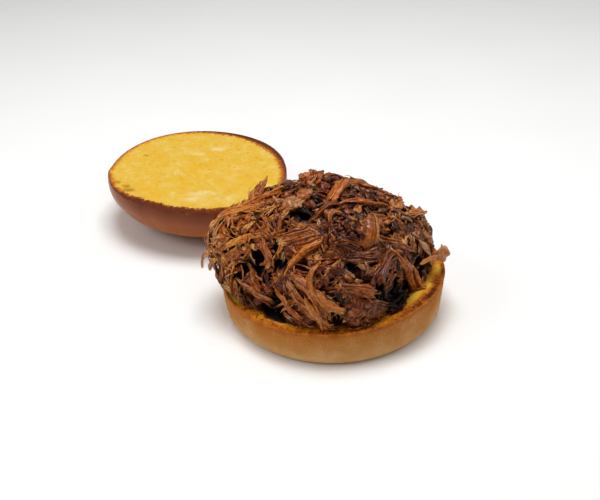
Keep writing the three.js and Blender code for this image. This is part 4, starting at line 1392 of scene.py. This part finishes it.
# %% The shreds that stand out
# Each row is (azimuth, polar, heading, length, width, thickness, lighter, more amber, wetter,
# lift of the first end, middle and last end, style of the first and last end, bend).
SHOWN_SHREDS = np.array([
    (-123, 42, 37, 19, 10, 2.6, 0.10, 0.05, 0, -1, 0, 0, 0, 2, 0),
    (-57, 39, -122, 16, 8.5, 3.5, 0.22, 0.7, 0, 0.5, 1.5, 0.5, 0, 0, 0),
    (-2, 3, 158, 17, 7.5, 3.2, 0.07, 0.6, -0.05, 2.5, 1.5, -0.5, 0, 0, 0),
    (-80, 85, -39, 15, 7, 3, 0, 0, 0.1, -0.5, 1, 1.5, 0, 2, 0),
    (132, 25, -135, 8, 4.5, 2.4, 0.05, 0.4, 0, 1, 3, 4.5, 0, 0, 0.24),
    (126, 19, -141, 9, 4, 2.4, 0.05, 0.3, 0, 1, 3, 5.5, 0, 0, 0.14),
    (120, 14, -138, 7, 4, 2.4, 0.1, 0.4, 0, 1, 3, 4.5, 0, 0, 0.15),
    (86, 20, -151, 12, 5, 2.6, 0.02, 0.1, 0, 1, 3, 1, 0, 0, -0.24),
    (-90, 25, -126, 8, 2.2, 2, 0.1, 0.6, 0, 2, 3.5, 1, 0, 2, 0.4),
    (-82, 41, -16, 17, 6, 2.4, 0, 0, 0, -0.5, 1, 0.5, 0, 2, 0),
    (41, 27, -131, 18, 6, 2.6, 0.1, 0.2, 0, 1.5, 2, 1, 2, 0, 0),
    (28, 40, -119, 19, 5.5, 2.4, 0, 0, 0, 1.5, 1.5, 1.5, 2, 2, 0),
    (-73, 50, -11, 21, 5.5, 2.4, 0.05, 0, 0, -0.5, 1, 1, 1, 2, 0),
    (-72, 79, -28, 22, 5.5, 2.4, 0, 0.1, 0, -0.5, 1.5, 2, 0, 2, 0),
    (-81, 68, -8, 22, 5, 2.4, 0, 0.1, 0.2, -0.5, 1.5, 1.5, 1, 0, 0),
    (169, 43, 110, 20, 5, 2.4, 0.0, 0.3, 0, -0.5, 1.5, 1.5, 2, 2, 0),
    (177, 56, 74, 19, 5, 2.4, 0.1, 0.3, 0, 0.5, 1, 0.5, 2, 0, 0),
    (-160, 59, 63, 19, 4.5, 2, 0.1, 0.3, 0, 0, 0.5, 0, 1, 2, 0),
    (-59, 61, 33, 18, 4, 2, 0, 0, 0, 0, 1.5, 0.5, 0, 2, 0),
    (-36, 52, -42, 22, 4.5, 2, 0.05, 0.4, 0.1, -0.5, 1, 1, 2, 2, 0),
    (-142, 57, -42, 16, 3.6, 1.8, 0.1, 0.2, 0, -1, 1, 1.5, 2, 1, 0),
    (-145, 73, -44, 17, 3.2, 2, 0.1, 0.1, 0, -0.5, 1, 1.5, 1, 2, 0),
    (-125, 34, 0, 24, 2.8, 1.8, 0.15, 0, 0, -1, 0.5, 1, 1, 1, 0),
    (-110, 19, 49, 22, 2.6, 1.8, 0.1, 0.2, 0, -0.5, 2, 1.5, 1, 1, 0),
    (-23, 21, -55, 29, 2.6, 1.8, 0.12, 0.4, -0.1, 1.5, 1.5, 2, 1, 1, 0),
    (-92, 58, -9, 19, 3.6, 2, 0, 0.2, 0.2, -0.5, 0.5, 0.5, 1, 0, 0),
    (-114, 51, -124, 27, 3.4, 2.6, 0.14, 0.25, -0.15, 0.5, 3, 1, 0, 1, 0),
    (-34, 71, -60, 36, 3.8, 2.4, 0.1, 1.0, -0.3, 1, 4.5, 4.5, 1, 2, 0.06),
    (-8, 74, -65, 26, 4.4, 2.0, 0.26, -0.2, -0.2, 1.5, 2.4, 3, 1, 1, 0),
    (157, 45, 178, 12, 5.5, 1.8, 0.0, -0.1, 0, 0.5, 3.5, 6.5, 0, 2, 0.08),
    (153, 48, 161, 8, 2.8, 1.4, 0.04, 0, 0, 1, 4, 8, 0, 1, -0.1),
    (155, 43, 153, 9, 2.6, 1.4, 0.04, 0, 0, 1, 4, 9.5, 0, 1, 0),
    (160, 49, -163, 9, 2.8, 1.4, 0.1, 0, 0, 1, 3, 6, 0, 1, -0.1),
    (-107, 69, -32, 31, 4.5, 2.6, 0.08, 0.15, 0.05, 0.5, 3, 3, 1, 2, -0.28),
    (-119, 80, -23, 19, 3.6, 2, 0.12, 0.2, -0.15, 2, 3.5, 3.5, 1, 2, 0.06),
    (-102, 65, -78, 20, 3.2, 2.2, 0.05, 0.3, 0.05, 0.5, 3.5, 3.5, 1, 2, 0.14),
    (-94, 74, -34, 16, 3.6, 2.2, 0.16, 0.1, -0.2, 2, 4, 4, 1, 0, 0),
    (-99, 82, -52, 20, 4.6, 2.4, 0.12, 0.15, -0.2, 2.5, 4, 3, 1, 2, 0.09),
    (-111, 73, -41, 19, 6, 2, 0.14, -0.1, -0.2, 0.5, 2, 2, 1, 2, 0),
    (-121, 82, -143, 13, 1.6, 1.2, 0.3, 0.1, -0.2, 1.5, 3, 3.5, 1, 1, 0),
    (-117, 83, -139, 11, 1.6, 1.2, 0.26, 0.1, -0.2, 1.5, 3, 3.5, 1, 1, 0),
    (-21, 83, -83, 14, 5.5, 1.8, 0.16, 1.0, -0.3, 4, 5.5, 4.5, 1, 2, 0),
    (13, 44, -30, 13, 4.8, 1.6, 0.12, 0.35, 0, 0, 2.5, 5, 0, 1, 0),
    (6, 54, -46, 10, 4, 1.6, 0.14, 0.35, 0, 0, 2.5, 5, 0, 1, 0),
    (-76, 69, -17, 13, 5.5, 1.6, 0.18, 0.25, 0, 1, 3, 2.5, 1, 2, -0.14),
    (-71, 80, 10, 17, 4, 1.8, 0.18, 0, 0, 1.5, 2.5, 2.5, 1, 2, -0.22),
    # These two loose ends on the left are lighter, partly as painted light for the bright light on that
    # side.
    (-171, 78, -104, 10, 2.8, 1.8, 0.22, 0.35, -0.2, 2.5, 7, 12.5, 1, 0, 0.1),
    (-166, 78, -105, 8, 2.4, 1.6, 0.22, 0.35, -0.2, 2, 5.5, 10.5, 1, 0, 0),
    (-29, 87, -20, 20, 2.4, 1.6, 0.2, 0.3, 0, 1, 2, 1, 1, 1, 0),
    (-141, 81, -16, 20, 3.2, 2, 0.12, 0.1, 0, 0, 2, 2, 2, 2, -0.05),
    (-91, 58, -9, 15, 3.4, 2, -0.05, 0.3, 0.3, 0, 2, 1, 1, 0, -0.07),
    (-57, 61, -148, 13, 3, 2, 0.0, 0.4, 0.2, 1, 2.5, 2, 1, 2, 0.05)])

luck = np.random.default_rng(106)
place_shreds("pork_shown", SHOWN_SHREDS, luck, steps=16, around=10, headroom=1.0, bend=0.06, fibres=5,
             fibre_range=(0.35, 0.8), strand_width=1.3, spread=0.03, held=True)

# %% [markdown]
# Some chunks have a place of their own too: a beige one on the left, amber ones at the back and in front,
# and darker ones that fill out the right and the foot.

# %% The chunks that stand out
# Each row is (azimuth, polar, heading, length, width, thickness, lighter, more amber, wetter, lift).
SHOWN_CHUNKS = np.array([
    (178, 17, 45, 10, 7, 5, 0.12, -0.1, 0.0, 0.2),
    (-162, 24, 65, 13, 9, 5, 0.3, -0.75, -0.3, 1.6),
    (-12, 88, 20, 8, 5, 4, -0.1, 0.0, 0.1, 0.0),
    (-4, 88, -20, 8, 5, 4, -0.08, -0.1, 0.1, 0.0),
    (0, 84, -30, 7, 5, 4, -0.05, -0.1, 0.0, 0.0),
    (0, 68, 80, 12, 8, 5, 0.15, -0.1, 0.0, -0.8),
    (13, 57, 60, 9, 7, 5, 0.1, 0.0, 0.0, -1.0),
    (124, 21, 10, 12, 9, 7, 0.12, 0.5, 0.0, 0.8),
    (147, 33, 70, 8, 6, 6, -0.15, -0.1, 0.15, 1.2),
    (35, 39, -20, 10, 7, 5, 0.05, -0.05, 0.0, 0.3),
    (86, 22, -5, 9, 4.5, 4, 0.0, 0.0, 0.1, 0.5),
    (22, 33, -20, 10, 7, 5, 0.05, -0.1, 0.0, -0.5),
    (-14, 53, -60, 9, 7, 5, -0.1, -0.3, 0.0, -1.0),
    (-74, 82, 5, 17, 10, 7, 0.12, 0.15, 0.0, -0.5),
    (-81, 70, -5, 14, 7, 5, 0.0, 0.15, 0.1, -1.0),
    (-81, 40, 15, 14, 8, 4, -0.12, 0.0, 0.25, -1.5),
    (-58, 39, 80, 11, 6.5, 5, 0.15, 0.6, 0.0, 0.5),
    (-179, 57, 10, 9, 6, 4, 0.0, 0.3, 0.05, -0.5)])
SMALL_CHUNKS = np.array([
    (96, 15, 20, 9, 7, 5, -0.05, 0.1, 0.1, 0.0),
    (-170, 17, 55, 9, 5.5, 4.5, -0.02, 0.0, 0.0, 3.4),
    (112, 10, 40, 8, 7, 5, -0.05, 0.1, 0.1, -0.4),
    (-139, 18, 35, 7, 3.2, 2.4, -0.04, -0.3, 0.0, 2.2)])
luck = np.random.default_rng(108)
place_chunks("pork_chunks", SHOWN_CHUNKS, luck, subdivisions=5, headroom=1.0, held=True)
place_chunks("pork_chunks", SMALL_CHUNKS, luck, subdivisions=4, headroom=1.0, held=True)

# %% [markdown]
# The tongue is a smooth piece of skin and fat that stands out over the bread on the right, thin at
# first, then broad. It has no strands or hair. Last of all, crumbs of meat cling to the clumps.

# %% The tongue, and crumbs on the clumps
TONGUE = np.array([
    (-10, 75, -14, 17, 3.6, 2.2, 0.15, 0.8, -0.2, 4.5, 7, 8, 1, 0, 0),
    (-6, 75, -20, 10, 7.5, 2.2, 0.12, 0.2, -0.2, 5, 8, 10.5, 1, 0, 0)])
place_shreds("pork_shown", TONGUE, luck, steps=14, around=12, headroom=1.0, bend=0, waver=0, spread=0,
             tear=0.12, held=True)

CLUMPS = [(-74, 82, 10), (124, 21, 6), (-82, 39, 8), (-158, 57, 8)]  # (azimuth, polar, half-width)
luck = np.random.default_rng(112)
rows = spread_rows(3600, luck, length=(1.6, 4.0), width=(0.9, 1.7), thickness=(0.7, 1.1), keep_out=(3, 9))
rows = rows[luck.random(len(rows)) < 0.9 * nearest(rows, CLUMPS) - 0.1]
place_chunks("pork_bits", rows, luck, subdivisions=2, headroom=5.5, raised=0.5)

# %% [markdown]
# ## How deep each point lies
# Little light gets between the shreds, so the meat there is given painted shade. Each point gets a depth:
# how far it lies under the top shreds, which are read from the map, and the material paints shade by it.
# A few gaps get extra painted shadow, darker than their depth says, and on the right the gaps get less
# painted shade.

# %% The depth of each point
# Gaps with extra painted shadow, darker than their depth alone makes them.
PAINTED_SHADOW_SPOTS = [  # (azimuth, polar, half-width)
    (-34, 83, 16), (-50, 80, 11), (-148, 67, 3.5), (-129, 60, 4), (-127, 85, 6), (-139, 26, 6),
    (-79, 56, 4), (-38, 43, 3), (-88, 86, 5), (-62, 75, 5)]
# On the right the painted shade in the gaps is weaker: where, and by how much.
LESS_SHADE_SPOT = (-10, 42, 26)
LESS_SHADE_SHARE = 0.65  # how much shallower its gaps look
DARK_DEPTH = 7.0  # this far under the top shreds, hardly any light is left
TOP_REACH = 2  # cells round each one in which the highest shred counts as the top

tops = np.minimum(laid, form + clumps + 1.5)
for axis in (0, 1):
    wide = np.pad(tops, TOP_REACH, mode="edge").take(range(TOP_REACH, MAP_CELLS + TOP_REACH), 1 - axis)
    tops = np.max([wide.take(range(i, i + MAP_CELLS), axis) for i in range(2 * TOP_REACH + 1)], axis=0)
tops = soften(soften(tops, 3, 0), 3, 1)
print("top shreds: up to", round(tops.max(), 1), "mm from the heap's middle")


def painted_shade_depth(points):
    """How far points lie under the top shreds, as a share of the depth where it is dark, with the painted
    shadow spots added. The meat is painted darker by it.
    """
    outward = points - HEAP_MIDDLE
    sunk = (tops[map_cells(outward)] - np.linalg.norm(outward, axis=-1)) / DARK_DEPTH
    sunk *= 1 - LESS_SHADE_SHARE * near(unit(outward), *LESS_SHADE_SPOT)
    return np.clip(sunk + np.max([near(unit(outward), *spot) for spot in PAINTED_SHADOW_SPOTS], axis=0), 0, 1)


# %% [markdown]
# ## Join each pile in one piece
# A thousand objects would be slow to handle, so each kind becomes one mesh. Two sizes of noise rumple
# it all a little, and stray tips are pulled back inside the box of the plain heap. The shreds that
# stand out catch more light, so their depth counts for less.

# %% Join the piles and the core
RUMPLES = [(3.4, 0.6, 51), (1.5, 0.28, 54)]  # (size, push, seed)
MARGIN = 0.05  # the least gap between the meat and the sides of the box
PILE_MATERIALS = {"pork_base": soaked_pork, "pork_fibres": pork_fibre}
SHOWN_SHADE = 0.6
# The core's low tone is painted shade, on top of the painted shade of its depth.
CORE_LOOKS = {"tone": 0.1, "warm": 0.1, "sauce": 0.55}

low_corner, high_corner = [np.array(corner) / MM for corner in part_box("pork_heap")]
for pile, held in piles.items():
    points = np.concatenate(held["points"])
    for size, push, seed in RUMPLES:
        points = rumple(points, size, push, seed)
    points = np.clip(keep_off_bread(points, ON_BREAD), low_corner + MARGIN, high_corner - MARGIN)
    looks = {label: np.concatenate([batch[label] for batch in held["looks"]]) for label in held["looks"][0]}
    face_sets = [np.concatenate(held[kind]) for kind in ("quads", "triangles")]
    face_sets = [faces for faces in face_sets if len(faces)]
    depth = painted_shade_depth(points) * (SHOWN_SHADE if pile == "pork_shown" else 1.0)
    material = PILE_MATERIALS.get(pile, sauced_pork)
    build_piece(pile, points, face_sets, material, "pork", ["pork_heap"], depth=depth, **looks)

looks = {label: np.full(len(core_points), value) for label, value in CORE_LOOKS.items()}
build_piece(
    "pork_core", core_points, core_faces, soaked_pork, "pork", ["pork_heap"],
    grain=core_points * 0.8, depth=painted_shade_depth(core_points), **looks)
